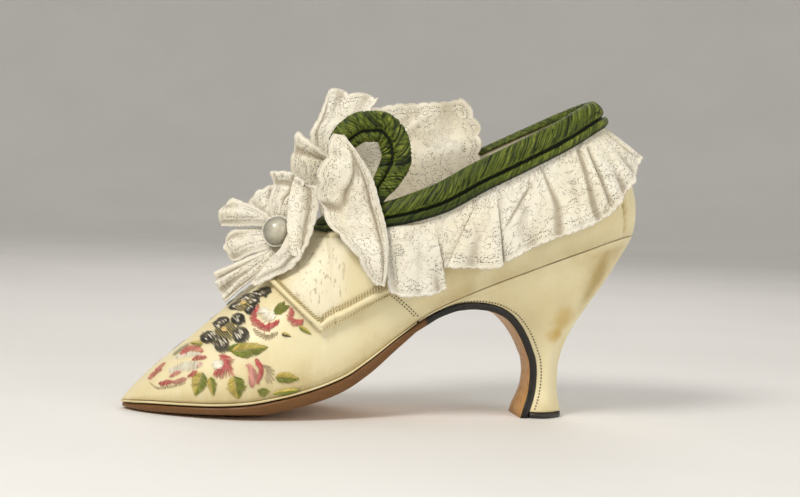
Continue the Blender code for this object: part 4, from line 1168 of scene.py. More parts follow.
class Finish(Nodes):
    """A Principled material under construction."""

    def __init__(self, name):
        self.made = bpy.data.materials.new(name)
        self.made.use_nodes = True
        super().__init__(self.made.node_tree)
        self.shader = self.tree.nodes["Principled BSDF"]
        self.place = self.put("ShaderNodeTexCoord")["Object"]

    def group(self, tree, scale):
        """The outputs of a shader group on object coordinates."""
        return self.put("ShaderNodeGroup", {0: self.place, 1: scale}, node_tree=tree)

    def mark(self, name, output="Fac"):
        return self.put("ShaderNodeAttribute", attribute_name=name)[output]

    def cloth(self):
        return self.put("ShaderNodeUVMap", uv_map="cloth")[0]

    def dress(self, tone, roughness, relief=None, **constants):
        """Feeds the shader; relief is a height, its depth in millimetres and its strength."""
        if relief:
            height, depth, strength = relief
            bump = {"Height": height, "Distance": depth * MM, "Strength": strength}
            constants["normal"] = self.put("ShaderNodeBump", bump)[0]
        for key, value in {"base_color": tone, "roughness": roughness, **constants}.items():
            self.feed(self.shader.inputs[key.replace("_", " ").title().replace("Ior", "IOR")], value)


def finish_once(build):
    """Makes a finish the first time that it is asked for."""

    def ask(*given):
        name = "_".join(["finish", build.__name__, *map(str, given)])
        found = bpy.data.materials.get(name)
        if found is None:
            look = Finish(name)
            build(look, *given)
            found = look.made
        return found

    return ask


@finish_once
def satin(look, where):
    """Old ivory silk satin: soft sheen, fine weave, uneven yellowing, browner along the foot line, with painted shade
    in folds and down the heel's back and a painted highlight on the saddle.
    """
    aged, cloth = look.group(ageing(), 38.0), look.group(plain_weave(), 1250.0)
    soil = look.mark("soil")
    tone = look.layers(
        colour("satin"),
        (colour("satin_aged"), aged["Patches"], 0.42),
        ((0.93, 0.88, 0.68), aged["Streaks"], 0.22),
        # Browner where the mark is high, as along the foot line; part of it is painted shade, in the puckers' folds and
        # down the heel's back.
        ((0.46, 0.33, 0.11), soil, look.line(aged["Patches"], 0.5, 0.35)),
        ((0.36, 0.26, 0.11), aged["Specks"], 0.10),
        ((0.94, 0.88, 0.63), cloth["Thread Tone"], 0.16),
    )
    if where == "saddle":
        # Painted highlight: a pale band along the saddle's middle, broken by short dark dashes.
        x = look.put("ShaderNodeSeparateXYZ", {0: look.place})[0]
        off = look.calc("ABSOLUTE", look.calc("SUBTRACT", x, SADDLE_HIGHLIGHT_X))
        middle = look.band(off, 0.008, 0.016, 1.0, 0.0)
        drawn = look.vector("MULTIPLY", look.place, (1.4, 1.4, 0.12))[0]
        dashes = look.band(look.noise(drawn, 560.0, 2.0), 0.55, 0.64)
        broken = look.band(look.noise(look.place, 170.0, 2.0), 0.42, 0.56)
        worn = look.product(dashes, middle, broken)
        tone = look.layers(tone, ((0.90, 0.86, 0.74), middle, 0.4), ((0.30, 0.24, 0.13), worn, 0.55))
    for point, radius, stain, share in HEEL_STAINS if where == "heel" else ():
        away = look.vector("DISTANCE", look.place, point)["Value"]
        ragged = look.calc("ADD", away, look.product(look.noise(look.place, 160.0, 4.0), 0.006))
        tone = look.layers(tone, (stain, look.band(ragged, radius * 0.5, radius * 1.4, share, 0.0)))
    rough = look.line(soil, 0.15, look.line(aged["Patches"], 0.14, 0.36))
    height = look.line(cloth["Height"], 0.5, aged["Patches"])
    sheen = {"sheen_weight": 0.25, "sheen_roughness": 0.35}
    look.dress(tone, rough, (height, 0.035, 0.6), specular_ior_level=0.42, **sheen)


@finish_once
def linen(look):
    """Plain linen lining and sock, toned by wear."""
    aged, cloth = look.group(ageing(), 60.0), look.group(plain_weave(), 900.0)
    worn = (0.60, 0.47, 0.27), aged["Patches"], 0.5
    tone = look.layers(colour("lining"), worn, ((0.88, 0.83, 0.70), cloth["Height"], 0.22))
    look.dress(tone, look.line(cloth["Thread Tone"], 0.2, 0.68), (cloth["Height"], 0.06, 0.7), sheen_weight=0.15)


@finish_once
def sole_leather(look):
    """Sole leather: burnished brown edge, tan face, blacked edge from the waist on."""
    grain, aged = look.group(leather_grain(), 620.0), look.group(ageing(), 55.0)
    scuffs, layers = grain["Scuffs"], grain["Layers"]
    scuffed = (0.24, 0.11, 0.035), scuffs, 0.6
    face = look.layers(colour("sole_face"), scuffed, ((0.62, 0.36, 0.11), aged["Patches"], 0.4))
    stacked = (0.26, 0.115, 0.030), layers, 0.55
    side = look.layers(colour("sole_edge"), stacked, ((0.10, 0.042, 0.012), scuffs, 0.35))
    ink = look.layers(colour("black"), ((0.055, 0.042, 0.030), scuffs, 0.25))
    rim = look.layers(side, (ink, look.band(look.mark("inked"), 0.4, 0.6)))
    tone = look.layers(face, (rim, look.band(look.mark("edge"), 0.35, 0.65)))
    look.dress(tone, look.line(scuffs, 0.25, 0.36), (grain["Height"], 0.05, 0.5), specular_ior_level=0.45)


@finish_once
def black_leather(look):
    """Stacked blacked leather of the heel tip, grey where it has worn."""
    grain = look.group(leather_grain(), 800.0)
    stacked = (0.045, 0.034, 0.025), grain["Layers"], 0.5
    tone = look.layers(colour("black"), stacked, ((0.10, 0.08, 0.06), grain["Scuffs"], 0.3))
    look.dress(tone, look.line(grain["Scuffs"], 0.25, 0.34), (grain["Height"], 0.04, 0.5))


@finish_once
def lace(look):
    """Needle lace with worked scrolls, pinholes and a beaded border, painted darker in its folds and pinholes as
    painted shade.
    """
    inputs = {"Cloth": look.cloth(), "From Edge": look.mark("from_edge"), "Motif Scale": LACE_MOTIF_SCALE}
    work = look.put("ShaderNodeGroup", inputs, node_tree=needle_lace())
    tone = look.layers(
        colour("lace"),
        ((0.76, 0.65, 0.36), look.group(ageing(), 45.0)["Patches"], 0.34),
        (colour("lace_ground"), work["Ground"], 0.36),
        # Painted shade in the pinholes.
        (colour("lace_hole"), work["Holes"], 0.84),
        # Painted shade in the folds of the lace, by how deep each point lies in one.
        ((0.22, 0.16, 0.08), look.mark("crease"), 0.62),
    )
    rough = look.line(work["Ground"], 0.12, 0.72)
    look.dress(tone, rough, (work["Height"], 0.12, 0.6), sheen_weight=0.2, specular_ior_level=0.3)


@finish_once
def lace_cord(look):
    """Corded edge of the lace, wrapped with thread."""
    wraps = look.noise(look.place, 1600.0, 2.0)
    tone = look.layers((0.62, 0.56, 0.44), ((0.90, 0.87, 0.78), look.band(wraps, 0.35, 0.7)))
    look.dress(tone, look.line(wraps, 0.15, 0.66), (wraps, 0.08, 0.6))


@finish_once
def ribbon(look):
    """Green silk ribbon with feathered ribs that run across it, painted dark in the creases of its gathers as painted
    shade and light on their crests as painted highlight.
    """
    cloth, rise = look.cloth(), look.mark("gather")
    feather = look.noise(look.vector("MULTIPLY", cloth, (0.95, 0.19, 1.0))[0], 1.0, 4.0, 0.6, 0.6)
    lit = look.product(look.band(rise, 0.68, 1.0), look.band(feather, 0.44, 0.68))
    # Painted shade in the creases of the gathers, and a painted highlight on their crests.
    tone = look.layers(
        colour("ribbon_dark"),
        (colour("ribbon"), look.band(rise, 0.22, 0.80)),
        (colour("ribbon_light"), lit, 0.9),
        (colour("ribbon_dark"), look.band(feather, 0.37, 0.49, 0.9, 0.0)),
    )
    ribs = look.calc("SINE", look.product(look.put("ShaderNodeSeparateXYZ", {0: cloth})[0], 6.0))
    height = look.line(ribs, 0.10, feather)
    sheen = {"sheen_weight": 0.06, "sheen_roughness": 0.4}
    look.dress(tone, look.line(feather, 0.25, 0.40), (height, 0.12, 0.6), specular_ior_level=0.20, **sheen)


@finish_once
def silk_thread(look):
    """Embroidery silk in the colour of each thread, twisted and slightly faded."""
    twist = look.noise(look.place, 1300.0, 2.0)
    faded = (0.72, 0.62, 0.40), look.group(ageing(), 70.0)["Patches"], 0.12
    tone = look.layers(look.mark("thread_colour", "Color"), faded)
    tone = look.layers(tone, ((0.95, 0.92, 0.80), look.band(twist, 0.3, 0.75, 0.0, 0.3)), mode="SOFT_LIGHT")
    sheen = {"sheen_weight": 0.08, "sheen_roughness": 0.3}
    look.dress(tone, look.line(twist, 0.2, 0.36), (twist, 0.05, 0.5), specular_ior_level=0.35, **sheen)


@finish_once
def sewing_thread(look, tone):
    """Sewing thread of seams and braid."""
    twist = look.noise(look.place, 1500.0, 2.0)
    deep, pale = (0.10, 0.07, 0.03), (0.30, 0.23, 0.11)
    if tone == "brown":
        deep, pale = colour("braid_thread"), (0.56, 0.46, 0.25)
    tint = look.layers(deep, (pale, look.band(twist, 0.3, 0.75)))
    look.dress(tint, look.line(twist, 0.2, 0.5), (twist, 0.05, 0.6))


@finish_once
def nacre(look):
    """Grey pearl with faint clouds under a clear gloss, painted darker round its rim as painted shade."""
    clouds = look.noise(look.place, 260.0, 4.0, 0.6, 0.8)
    cloudy = (0.72, 0.67, 0.53), look.band(clouds, 0.3, 0.7)
    tone = look.layers(colour("pearl"), cloudy, ((0.075, 0.085, 0.066), look.mark("rim"), 0.85))
    gloss = {"coat_weight": 0.5, "coat_roughness": 0.16, "specular_ior_level": 0.7}
    look.dress(tone, look.line(clouds, 0.14, 0.26), (clouds, 0.02, 0.3), **gloss)


@finish_once
def floor_finish(look):
    """Plain pale floor with a faint mottle."""
    mottle = look.noise(look.place, 6.0, 3.0)
    tone = look.layers((0.78, 0.765, 0.74), ((0.81, 0.795, 0.77), look.band(mottle, 0.3, 0.7)))
    look.dress(tone, look.line(mottle, 0.1, 0.7))


# Upper and sole


class SHOE_OT_upper(bpy.types.Operator):
    """Builds vamp and quarters as one satin wall with its linen lining"""

    bl_idname = "shoe.upper"
    bl_label = "Upper"

    def execute(self, context):
        rows = outline_rows()
        row, t = np.meshgrid(rows, np.linspace(0.0, 1.0, 34), indexing="ij")
        # Puckers of the satin where the quarters are drawn together at the back.
        window = ramp(17.9, 18.5, row) * (1 - ramp(19.75, 19.98, row)) * ramp(0.0, 0.08, t)
        fade = 1 - ramp(0.40, 0.62, t)
        line = 18.95 - 1.2 * t
        ridge = bump(row - line + 0.30, 0.14) + 0.8 * bump(row - line - 0.26, 0.12)
        small = 0.35 * wave(row * 1.7 + 0.4 * t)
        pucker = window * fade * (1.2 * ridge - 1.6 * bump(row - line, 0.14) + small)
        drag = 0.18 * ramp(11, 13, row) * wave(0.8 * row - 2.2 * t) * ramp(0, 0.15, t) * fade
        outer = offset_point(row, t, pucker + drag * (1 - window))
        inner = offset_point(row, t, -millimetres("wall"))
        inner[:, 0, 2] = outer[:, 0, 2]
        toe_x, _, toe_z = foot_line(TOE_FILL)[:3]
        inner[rows < TOE_FILL] = (toe_x - 1.5, 0.0, toe_z)
        # Darker along the foot line and at the toe, and painted shade in the creases of the puckers.
        foot = (1 - ramp(0.0, 0.16, t)) * 0.8
        pucker_shade = 1.7 * window * fade * ramp(-0.3, -1.3, pucker)
        soil = foot + pucker_shade + 0.25 * (1 - ramp(0.0, 3.0, row))
        piece = shell_piece("upper_satin", outer, inner, soil, satin("upper"), linen())
        settle(piece, "ivory_satin", "upper")
        return {"FINISHED"}


def rand_depth(row):
    """Thickness of the rand, which thins out towards the waist."""
    return RAND * (1 - 0.5 * ramp(9.5, WAIST, row))


def rand_rings(rows):
    outer, inner = foot_outline(rows, -RAND_REACH), foot_outline(rows, 2.6)
    inner[rows < TOE_FILL] = foot_line(TOE_FILL)[:3] * (1, 0, 1)
    fade = rand_depth(rows)[:, None]
    section = ((1.0, 0.0), (0.18, 0.0), (0.03, 0.18), (0.0, 0.5), (0.03, 0.82), (0.18, 1.0), (1.0, 1.0))
    rings = [outer + inwards * (inner - outer) - fade * depth * (0, 0, 1) - (0, 0, CLEAR) for inwards, depth in section]
    near = np.stack(rings, 1)
    return np.concatenate([near[::-1], mirrored(near[1:])])


def breast_normal(row):
    """Normals of the heel's breast line in side view, away from the heel."""
    ahead, behind = heel_line(np.minimum(row + 0.05, HEEL_LAST)), heel_line(np.maximum(row - 0.05, 0))
    along = (ahead - behind)[..., :2]
    return unit(np.stack([along[..., 1], -along[..., 0]], -1))


def sole_section(top, bottom, half_top, half_bottom, lift):
    """Sections of the sole with a rounded edge, and how much of each point belongs to that edge."""
    down = bottom - top
    thick = np.linalg.norm(down, axis=-1, keepdims=True)
    down = down / thick
    lift = lift[:, None]
    sides = ((0.0, 0.97), (0.06, 1.0), (0.35, 1.006), (0.65, 1.004), (0.92, 1.0), (1.0, 0.985))
    edge = [((thick - lift) * depth, (half_top + (half_bottom - half_top) * depth) * share) for depth, share in sides]
    under = np.linspace(0.93, -0.93, 15)
    profile = [(depth, -half) for depth, half in edge]
    profile += [(thick - lift * ramp(0.55, 1.0, abs(share)), -half_bottom * share) for share in under]
    profile += edge[::-1]
    profile += [(0 * thick, half_top * share) for share in np.linspace(0.6, -0.6, 3)]
    marks = [1.0] * len(edge) + [0.0] * len(under) + [1.0] * len(edge) + [0.0] * 3
    rings = []
    for depth, y in profile:
        place = top + down * depth
        rings.append(np.stack([place[:, 0], np.broadcast_to(y, place[:, :1].shape)[:, 0], place[:, 1]], -1))
    return np.stack(rings, 1), marks


def build_outsole(rows):
    """The sole from the toe to the waist, down the heel's breast and round its foot."""
    x, half = foot_line(rows)[:, 0], foot_line(rows)[:, 1:2] + SOLE_REACH
    tread = sole_line(x)
    top = np.stack([x, foot_line(rows)[..., 2] - 3 * CLEAR - rand_depth(rows)], -1)
    front, marks = sole_section(top, np.stack([x, tread[:, 0]], -1), half, half - 0.6, tread[:, 1])
    downs = np.linspace(0, HEEL_LAST, HEEL_STEPS)[1:]
    breast, width = heel_line(downs)[:, :2], heel_line(downs)[:, 2:3]
    lift = np.full(len(downs), 0.3)
    flap, _ = sole_section(breast, breast + FLAP * breast_normal(downs), width, width - 0.2, lift)
    foot = np.array([(heel_line(HEEL_LAST)[0] - 0.9, 0.0)])
    tip, _ = sole_section(foot, foot - (FLAP, 0.0), width[-1:] + 0.4, width[-1:] + 0.2, lift[:1])
    rings = np.concatenate([front, flap, tip])
    edge = np.tile(marks, (len(rings), 1))
    inked = np.concatenate([ramp(-53.0, -52.4, x), np.ones(len(rings) - len(rows))])
    inked = np.tile(inked[:, None], (1, rings.shape[1]))
    piece = ring_piece("outsole_leather", rings, sole_leather(), {"edge": edge, "inked": inked})
    settle(piece, "sole_leather", "outsole")


def build_sock(rows):
    edge = foot_outline(rows, millimetres("wall") + 0.5) + (0.0, 0.0, 0.4)
    edge[-1, 1] = 0.0
    across = np.linspace(1.0, -1.0, 17)
    top = edge[:, None] * np.stack([0 * across + 1, across, 0 * across + 1], -1)
    top[..., 2] += INSOLE - 0.25 * np.abs(across) ** 6 + 0.15 * (1 - across**2)
    base = edge[:, None] * np.array([(1, -1, 1), (1, 1, 1)])
    settle(ring_piece("insole_sock", np.concatenate([top, base], 1), linen()), "lining", "insole")


def build_top_piece():
    tip = heel_surface(np.array([float(HEEL_LAST)]), np.linspace(0, 1, 60))[0]
    tip[:, 0] = np.maximum(tip[:, 0], tip[0, 0])
    tip[-1, 1] = 0.0
    outline = np.vstack([tip, mirrored(tip[:-1])[::-1]])
    middle = outline.mean(axis=0)
    section = ((1e-4, TOP_PIECE), (0.94, TOP_PIECE), (1.0, 2.1), (1.01, 1.2), (1.0, 0.35), (0.94, 0.0), (1e-4, 0.0))
    rings = np.array([middle + (outline - middle) * share for share, _ in section])
    rings[..., 2] = np.array([z for _, z in section])[:, None]
    settle(ring_piece("top_piece_leather", rings, black_leather()), "black_leather", "top_piece")


class SHOE_OT_sole(bpy.types.Operator):
    """Builds outsole, rand, sock and the heel's top piece"""

    bl_idname = "shoe.sole"
    bl_label = "Sole"

    def execute(self, context):
        rows = outline_rows()
        build_outsole(rows[rows <= WAIST])
        strip = rand_rings(rows[rows <= WAIST])
        piece = ring_piece("rand_strip", strip, satin("rand"), {"soil": np.full(strip.shape[:2], 0.6)})
        settle(piece, "heel_cover", "rand")
        build_sock(rows[rows >= TOE_FILL + 0.25])
        build_top_piece()
        return {"FINISHED"}


# Heel


def heel_seat():
    """The heel's upper outline under the quarters, by share from breast to back."""
    rows = np.linspace(WAIST, BACK, 120)
    seat = foot_outline(rows, 0.2) - (0.0, 0.0, 1.4 * CLEAR)
    seat[-1, 1] = 0.0
    return seat, (seat[:, 0] - seat[0, 0]) / (seat[-1, 0] - seat[0, 0])


def heel_surface(rows, shares):
    """Points of the heel's near side, from breast at share 0 to back at 1."""
    seat, seat_shares = heel_seat()
    seat_half = np.interp(shares, seat_shares, -seat[:, 1])
    values = heel_line(rows)[:, None]
    breast = values[..., :2] - CLEAR * breast_normal(rows)[:, None]
    s = np.asarray(shares)[None, :, None]
    place = breast + s * (values[..., 3:5] - breast)
    s, seat_like = s[..., 0], values[..., 6]
    z = place[..., 1] + SEAT_BOW * seat_like * 4 * s * (1 - s)
    swell = np.maximum(0.0, np.sin(math.pi * np.minimum(1.0, s / 0.8)))
    rounding = np.maximum(0.0, 1 - s**HEEL_ROUND) ** (1 / HEEL_ROUND)
    own = rounding * (values[..., 2] + (values[..., 5] / 0.94 - values[..., 2]) * swell)
    half = own + seat_like * (seat_half[None] * values[..., 5] / 26.0 - own)
    return np.stack([place[..., 0], -half, z], -1)


class SHOE_OT_heel(bpy.types.Operator):
    """Builds the curved heel with its satin cover"""

    bl_idname = "shoe.heel"
    bl_label = "Heel"

    def execute(self, context):
        bend = np.linspace(0, 1, 64)
        shares = np.sin(bend * math.pi / 2) ** 1.2
        shares[-1] = 1.0
        rows = np.linspace(0, HEEL_LAST, HEEL_STEPS)
        near = heel_surface(rows, shares)
        seat, seat_shares = heel_seat()
        top = np.stack([np.interp(shares, seat_shares, seat[:, c]) for c in range(3)], -1)
        lip = top - (0.0, 0.0, 0.5)
        near = np.concatenate([top[None], lip[None], near])
        near[:, -1, 1] = 0.0
        rings = np.concatenate([near, mirrored(near[:, -2::-1])], 1)
        # Painted shade: a darker band runs down the heel's rounded back in its upper rows (back and worn). The heel is
        # also darker towards its top and its foot.
        back = 1.5 * bump(shares - 0.86, 0.08)
        depth = np.concatenate([[0.9, 0.7], 0.6 * (1 - ramp(0.0, 4.0, rows))])
        foot = np.concatenate([[0, 0], 0.45 * ramp(12.6, 14.0, rows)])
        worn = np.concatenate([[0, 0], ramp(-0.6, 0.6, rows) * (1 - ramp(5.0, 8.0, rows))])
        soil = np.maximum(0.5 * depth + foot, 0.0)[:, None] + back[None] * worn[:, None]
        soil = np.concatenate([soil, soil[:, -2::-1]], 1)
        settle(ring_piece("heel_satin", rings, satin("heel"), {"soil": soil}), "heel_cover", "heel")
        return {"FINISHED"}


# Saddle


def past_corner(row):
    """How far foot rows lie behind the saddle's corner."""
    return upper_point(row, 0.5)[..., 0] - SADDLE_CORNER[0]


def saddle_low(row):
    """Height of the saddle's lower edge at foot rows."""
    along = past_corner(row)
    return SADDLE_CORNER[1] + np.where(along < 0, SADDLE_FRONT_SLOPE, SADDLE_SIDE_SLOPE) * along


def saddle_rows(count):
    tried = np.arange(4.5, 7, 0.01)
    front = tried[saddle_low(tried) < upper_point(tried, 1.0)[:, 2] - 0.4][0]
    return front + (SADDLE_END - front) * np.linspace(0, 1, count) ** 1.7


def strip_between(rows, low, high, shares):
    """Foot rows and t of a strip between two edges."""
    t = low[:, None] + shares * (high - low)[:, None]
    t[high == 1.0, -1] = 1.0
    return np.broadcast_to(rows[:, None], t.shape), t


def build_braid(rows, along):
    base = 2 * TRIM_CLEAR + SADDLE
    side = ramp(-3.0, 3.0, along)
    heights = BRAID_FRONT + (BRAID_SIDE - BRAID_FRONT) * side
    low, high = (t_at_height(rows, saddle_low(rows) + height) for height in (0.2, heights))
    shares = np.linspace(0.0, 1.0, 29)
    row, t = strip_between(rows, low, high, shares)
    beads = ((0.30, 0.30), (0.45, 0.17))
    front, back = (0.95 * np.sqrt(np.clip(1 - ((shares - at) / half) ** 2, 0, 1)) for at, half in beads)
    height = 0.30 + (1 - side[:, None]) * front + side[:, None] * back
    height[:, 0] = height[:, -1] = 0.12
    soil = np.clip(0.75 - 0.6 * height, 0, 1)
    inner = offset_point(row, t, base)
    piece = shell_piece("saddle_braid_band", offset_point(row, t, base + height), inner, soil, satin("braid"))
    settle(piece, "braid", "saddle_braid")
    lines = []
    ahead, behind = along < 1.0, along > -1.0
    for part, share in ((ahead, 0.70), (ahead, 0.90), (behind, 0.12), (behind, 0.76), (behind, 0.93)):
        r, at = rows[part], (low + share * (high - low))[part]
        lines += both_sides(offset_point(r, at, base + 0.42), upper_normal(r, at))
    thread = sewing_thread("brown")
    piece = stitches("saddle_braid_stitches", lines, thread, BRAID_STITCH_PITCH, BRAID_STITCH, slant=0.7)
    settle(piece, "braid")


class SHOE_OT_saddle(bpy.types.Operator):
    """Builds the satin saddle over the instep, its braid and their stitching"""

    bl_idname = "shoe.saddle"
    bl_label = "Instep Saddle"

    def execute(self, context):
        rows, shares = saddle_rows(110), np.linspace(0.0, 1.0, 26)
        top_z = SADDLE_TOP[1] + SADDLE_TOP_SLOPE * (upper_point(rows, 0.9)[:, 0] - SADDLE_TOP[0])
        edges = t_at_height(rows, saddle_low(rows)), t_at_height(rows, top_z)
        row, t = strip_between(rows, *edges, shares)
        rim = ramp(0.0, 0.05, shares)[None] * ramp(0.0, 0.02, np.linspace(0, 1, len(rows)))[:, None]
        puff = 0.25 * np.sin(math.pi * shares)[None] * (0.5 + 0.5 * np.sin(0.9 * row + 3 * shares[None]))
        outer = offset_point(row, t, TRIM_CLEAR + SADDLE * (0.45 + 0.55 * rim) + puff * (row > 6.5))
        soil = np.broadcast_to(0.55 * (1 - ramp(0.0, 0.30, shares)), t.shape)
        piece = shell_piece("saddle_satin", outer, offset_point(row, t, TRIM_CLEAR), soil, satin("saddle"))
        settle(piece, "ivory_satin", "instep_saddle")
        build_braid(rows, past_corner(rows))
        return {"FINISHED"}


# Ribbon


def topline_frames(rows):
    """Points of the near topline with their outward and upward directions."""
    here = upper_point(rows, 1.0)
    ahead, behind = np.minimum(rows + 0.02, BACK), np.maximum(rows - 0.02, THROAT)
    along = upper_point(ahead, 1.0) - upper_point(behind, 1.0)
    along[rows == THROAT] = (0.0, -1.0, 0.0)
    along[rows == BACK] = (0.0, 1.0, 0.0)
    along = unit(along)
    ridge = upper_normal(float(THROAT), 1.0)
    share = ramp(THROAT, THROAT + 2.5, rows)[:, None]
    out = (1 - share) * ridge + share * upper_normal(rows, 0.92)
    up = unit(np.cross(out, along))
    up = np.where(up[:, 2:] < 0, -up, up)
    out = np.cross(along, up)
    facing = (out * upper_normal(rows, 0.9)).sum(1, keepdims=True)
    return here, unit(np.where(facing < 0, -out, out)), up


def ribbon_size(rows):
    """The ribbon's share of its full section, smaller towards the throat."""
    return RIBBON_FRONT + (1 - RIBBON_FRONT) * ramp(THROAT, RIBBON_FULL, rows)


def section_normals(section):
    """Outward normals of a closed section."""
    spin = np.roll(section, -1, 0) - np.roll(section, 1, 0)
    away = unit(np.stack([-spin[:, 1], spin[:, 0]], -1))
    return -away if (away * (section - section.mean(0))).sum() < 0 else away


def girth(section):
    """Length gone round a closed section."""
    return np.concatenate([[0], np.linalg.norm(np.roll(section, -1, 0) - section, axis=1).cumsum()])


def gathers(at, across, period, slant, seed):
    """Irregular gathers of a ruched ribbon: 1 on a crest and 0 in a crease."""
    pitch = millimetres("gather_pitch")
    often = int(period / pitch)
    drift = at - slant * across * (1 + 0.35 * wobble(at, period, seed + 3, often // 12, often // 5))
    turns = drift / pitch + 0.45 * wobble(drift, period, seed, often // 6, often // 2)
    crest = np.abs(np.sin(math.pi * turns)) ** 0.8
    second = drift / pitch * 2.1 + 0.5 * wobble(drift, period, seed + 1, often // 5, often)
    fine = np.abs(np.sin(math.pi * second))
    depth = 0.52 + 0.34 * wobble(np.floor(turns) * pitch, period, seed + 2, often // 8, often // 3)
    return np.clip(1 - np.clip(depth, 0.1, 0.95) * (1 - crest) - 0.40 * (1 - fine) ** 1.5, 0.0, 1.0)


def ribbon_piece(name, node, grid, faces, uv, rise):
    """A padded piece of the ribbon, with a mark of the height of its gathers and of their painted shade and highlight.
    """
    piece = new_piece(name, grid.reshape(-1, 3), faces, [ribbon()], uv=uv, marks={"gather": rise}, outwards=True)
    settle(piece, "green_ribbon", node)


def build_collar():
    fine = np.linspace(THROAT, BACK, 4000)
    gone = arc(upper_point(fine, 1.0))
    half, length = gone[-1], 2 * gone[-1]
    rows = np.interp(np.linspace(0, half, 500), gone, fine)
    rows[0], rows[-1] = THROAT, BACK
    here, out, up = topline_frames(rows)
    surface = skin()
    depths = np.array((-11.0, -9.0, -7.0, -5.0, -3.0, -1.5, 0.0, 5.0))
    wall = np.zeros((len(rows), len(depths)))
    for i, j in np.ndindex(len(rows), np.count_nonzero(depths < 0)):
        start = Vector(here[i] + up[i] * depths[j] + RIBBON_RAY * out[i])
        hit = surface.ray_cast(start, Vector(-out[i]))[0]
        wall[i, j] = 0.0 if hit is None else (np.array(hit) - here[i]) @ out[i]
    section = closed_curve(RIBBON_SECTION, RIBBON_AROUND)
    away, (reach, level) = section_normals(section), section.T
    shown = ramp(-0.4, 1.0, away[:, 0]) * ramp(0.8, 2.0, reach)
    shown = np.maximum(shown, 0.5 * ramp(1.5, 2.4, level))
    size = ribbon_size(rows)[:, None]
    at = np.linspace(0, half, len(rows))[:, None]
    lean = 1.15 * ramp(0.0, 12.0, at) * ramp(0.0, 12.0, half - at)
    lower = ramp(6.0, 7.4, -level)
    # The crease between the two puffs is sunk and painted dark all along, as painted shade, and the lip just above it
    # stands out and is painted light, as a painted highlight. The ribbon is also darker along its lower edge.
    crease, lip = (bump(level + low, width) * (reach > 1.2) for low, width in ((6.2, 0.55), (5.0, 0.45)))
    edge = 1 - 0.8 * ramp(9.2, 10.0, -level) * (reach > 1.0)
    # Painted shade: towards the front the lower puff is darker, where it lies in the shade of the upper one, and the
    # end is darker where it folds at the back.
    shaded = ramp(9.0, 10.2, rows) * (1 - ramp(11.8, 14.6, rows))
    shade = 1 - lower[None] * 0.4 * shaded[:, None]
    fold = bump(rows - 19.35, 0.16)[:, None] * ramp(4.5, 3.0, -level)[None]
    near, rises = [], []
    for side, along in ((1, at), (-1, length - at)):
        rise = gathers(along + 0 * level, 0 * along + level, length, side * lean, sizes().seed)
        # The lower puff's gathers are shallower and lighter, as painted light against the shade that it lies in.
        rise = rise + (1 - rise) * 0.45 * lower
        rise = np.maximum(rise, 0.95 * lip) * (1 - 0.95 * crease)
        move = millimetres("gather_depth") * (rise - GATHER_MIDDLE) * shown
        o = reach * np.where(reach > 1.0, size, 1.0) + away[:, 0] * move * size
        u = level * np.where(np.abs(level) > 0.5, size, 1.0) + away[:, 1] * move * size
        drop = np.clip(u, depths[0], depths[-1])
        stand = np.array([np.interp(d, depths, w) for d, w in zip(drop, wall)])
        points = here[:, None] + up[:, None] * u[..., None] + out[:, None] * (o + stand)[..., None]
        points[0, :, 1] = points[-1, :, 1] = 0.0
        near.append(points)
        rises.append(rise * edge * shade * (1 - 0.8 * fold))
    grid = np.concatenate([near[0], mirrored(near[1][-2:0:-1])])
    rise = np.concatenate([rises[0], rises[1][-2:0:-1]])
    u, v = np.concatenate([at[:, 0], (length - at[::-1, 0])[1:]]), girth(section)
    uv = np.stack(np.meshgrid(u, v, indexing="ij"), -1)
    uv[..., 0] += np.concatenate([lean, -lean[-2::-1]]) * v
    quads = grid_quads(*grid.shape[:2], wrap=True, round_section=True)
    ribbon_piece("collar_ruche", "collar_ribbon", grid, quads, grid_uv(uv), rise)


def build_curl():
    path = smooth_table(CURL_ROWS)
    last = len(CURL_ROWS) - 1
    place = np.linspace(0, last, 320)
    middle, width = path(place)[:, :3], path(place)[:, 3:]
    along = unit(path(np.minimum(place + 0.05, last))[:, :3] - path(np.maximum(place - 0.05, 0))[:, :3])
    broad = unit(np.cross(along, (0.0, 1.0, 0.0)))
    thick = np.cross(broad, along)
    section = closed_curve([*CURL_SECTION, *((a, -b) for a, b in reversed(CURL_SECTION) if b > 0)], RIBBON_AROUND)
    away, (across, out) = section_normals(section), section.T
    gone = arc(middle)
    at = np.broadcast_to(gone[:, None], (len(place), len(section)))
    turned = np.broadcast_to(np.where(out >= 0, across, -across), at.shape)
    rise = gathers(at, turned, gone[-1], 0.70, sizes().seed + 5)
    # Painted highlight along a ridge near the middle of the curl and painted shade in the crease beside it, both also
    # shaping its gathers; the curl is darker towards its start.
    low = 0.35 + 0.65 * ramp(0.0, 0.16, gone / gone[-1])[:, None]
    rise = np.maximum(rise, 0.9 * bump(across - 0.8, 0.4)) * (1 - 0.95 * bump(across - 1.9, 0.5)) * low
    move = millimetres("gather_depth") * (rise - GATHER_MIDDLE)
    a, b = (across + away[:, 0] * move) * width, out + away[:, 1] * move
    grid = middle[:, None] + broad[:, None] * a[..., None] + thick[:, None] * b[..., None]
    count, around = grid.shape[:2]
    uv = grid_uv(np.stack(np.meshgrid(gone, girth(section), indexing="ij"), -1))
    corners = np.vstack([uv, np.zeros((2 * around, 2))])
    faces = grid_quads(count, around, round_section=True).tolist() + end_faces(count, around)
    ribbon_piece("curl_ruche", "ribbon_curl", grid, faces, corners, rise)


class SHOE_OT_ribbon(bpy.types.Operator):
    """Builds the ruched ribbon that binds the topline, and its standing curl"""

    bl_idname = "shoe.ribbon"
    bl_label = "Ruched Ribbon"

    def execute(self, context):
        build_collar()
        build_curl()
        return {"FINISHED"}


# Lace


def scallops(at, pitch):
    """Round lobes of uneven width, from 0 between two of them to 1."""
    return np.abs(np.sin(math.pi * (at / pitch + 0.22 * np.sin(at / (1.7 * pitch) + 0.6)))) ** 0.7


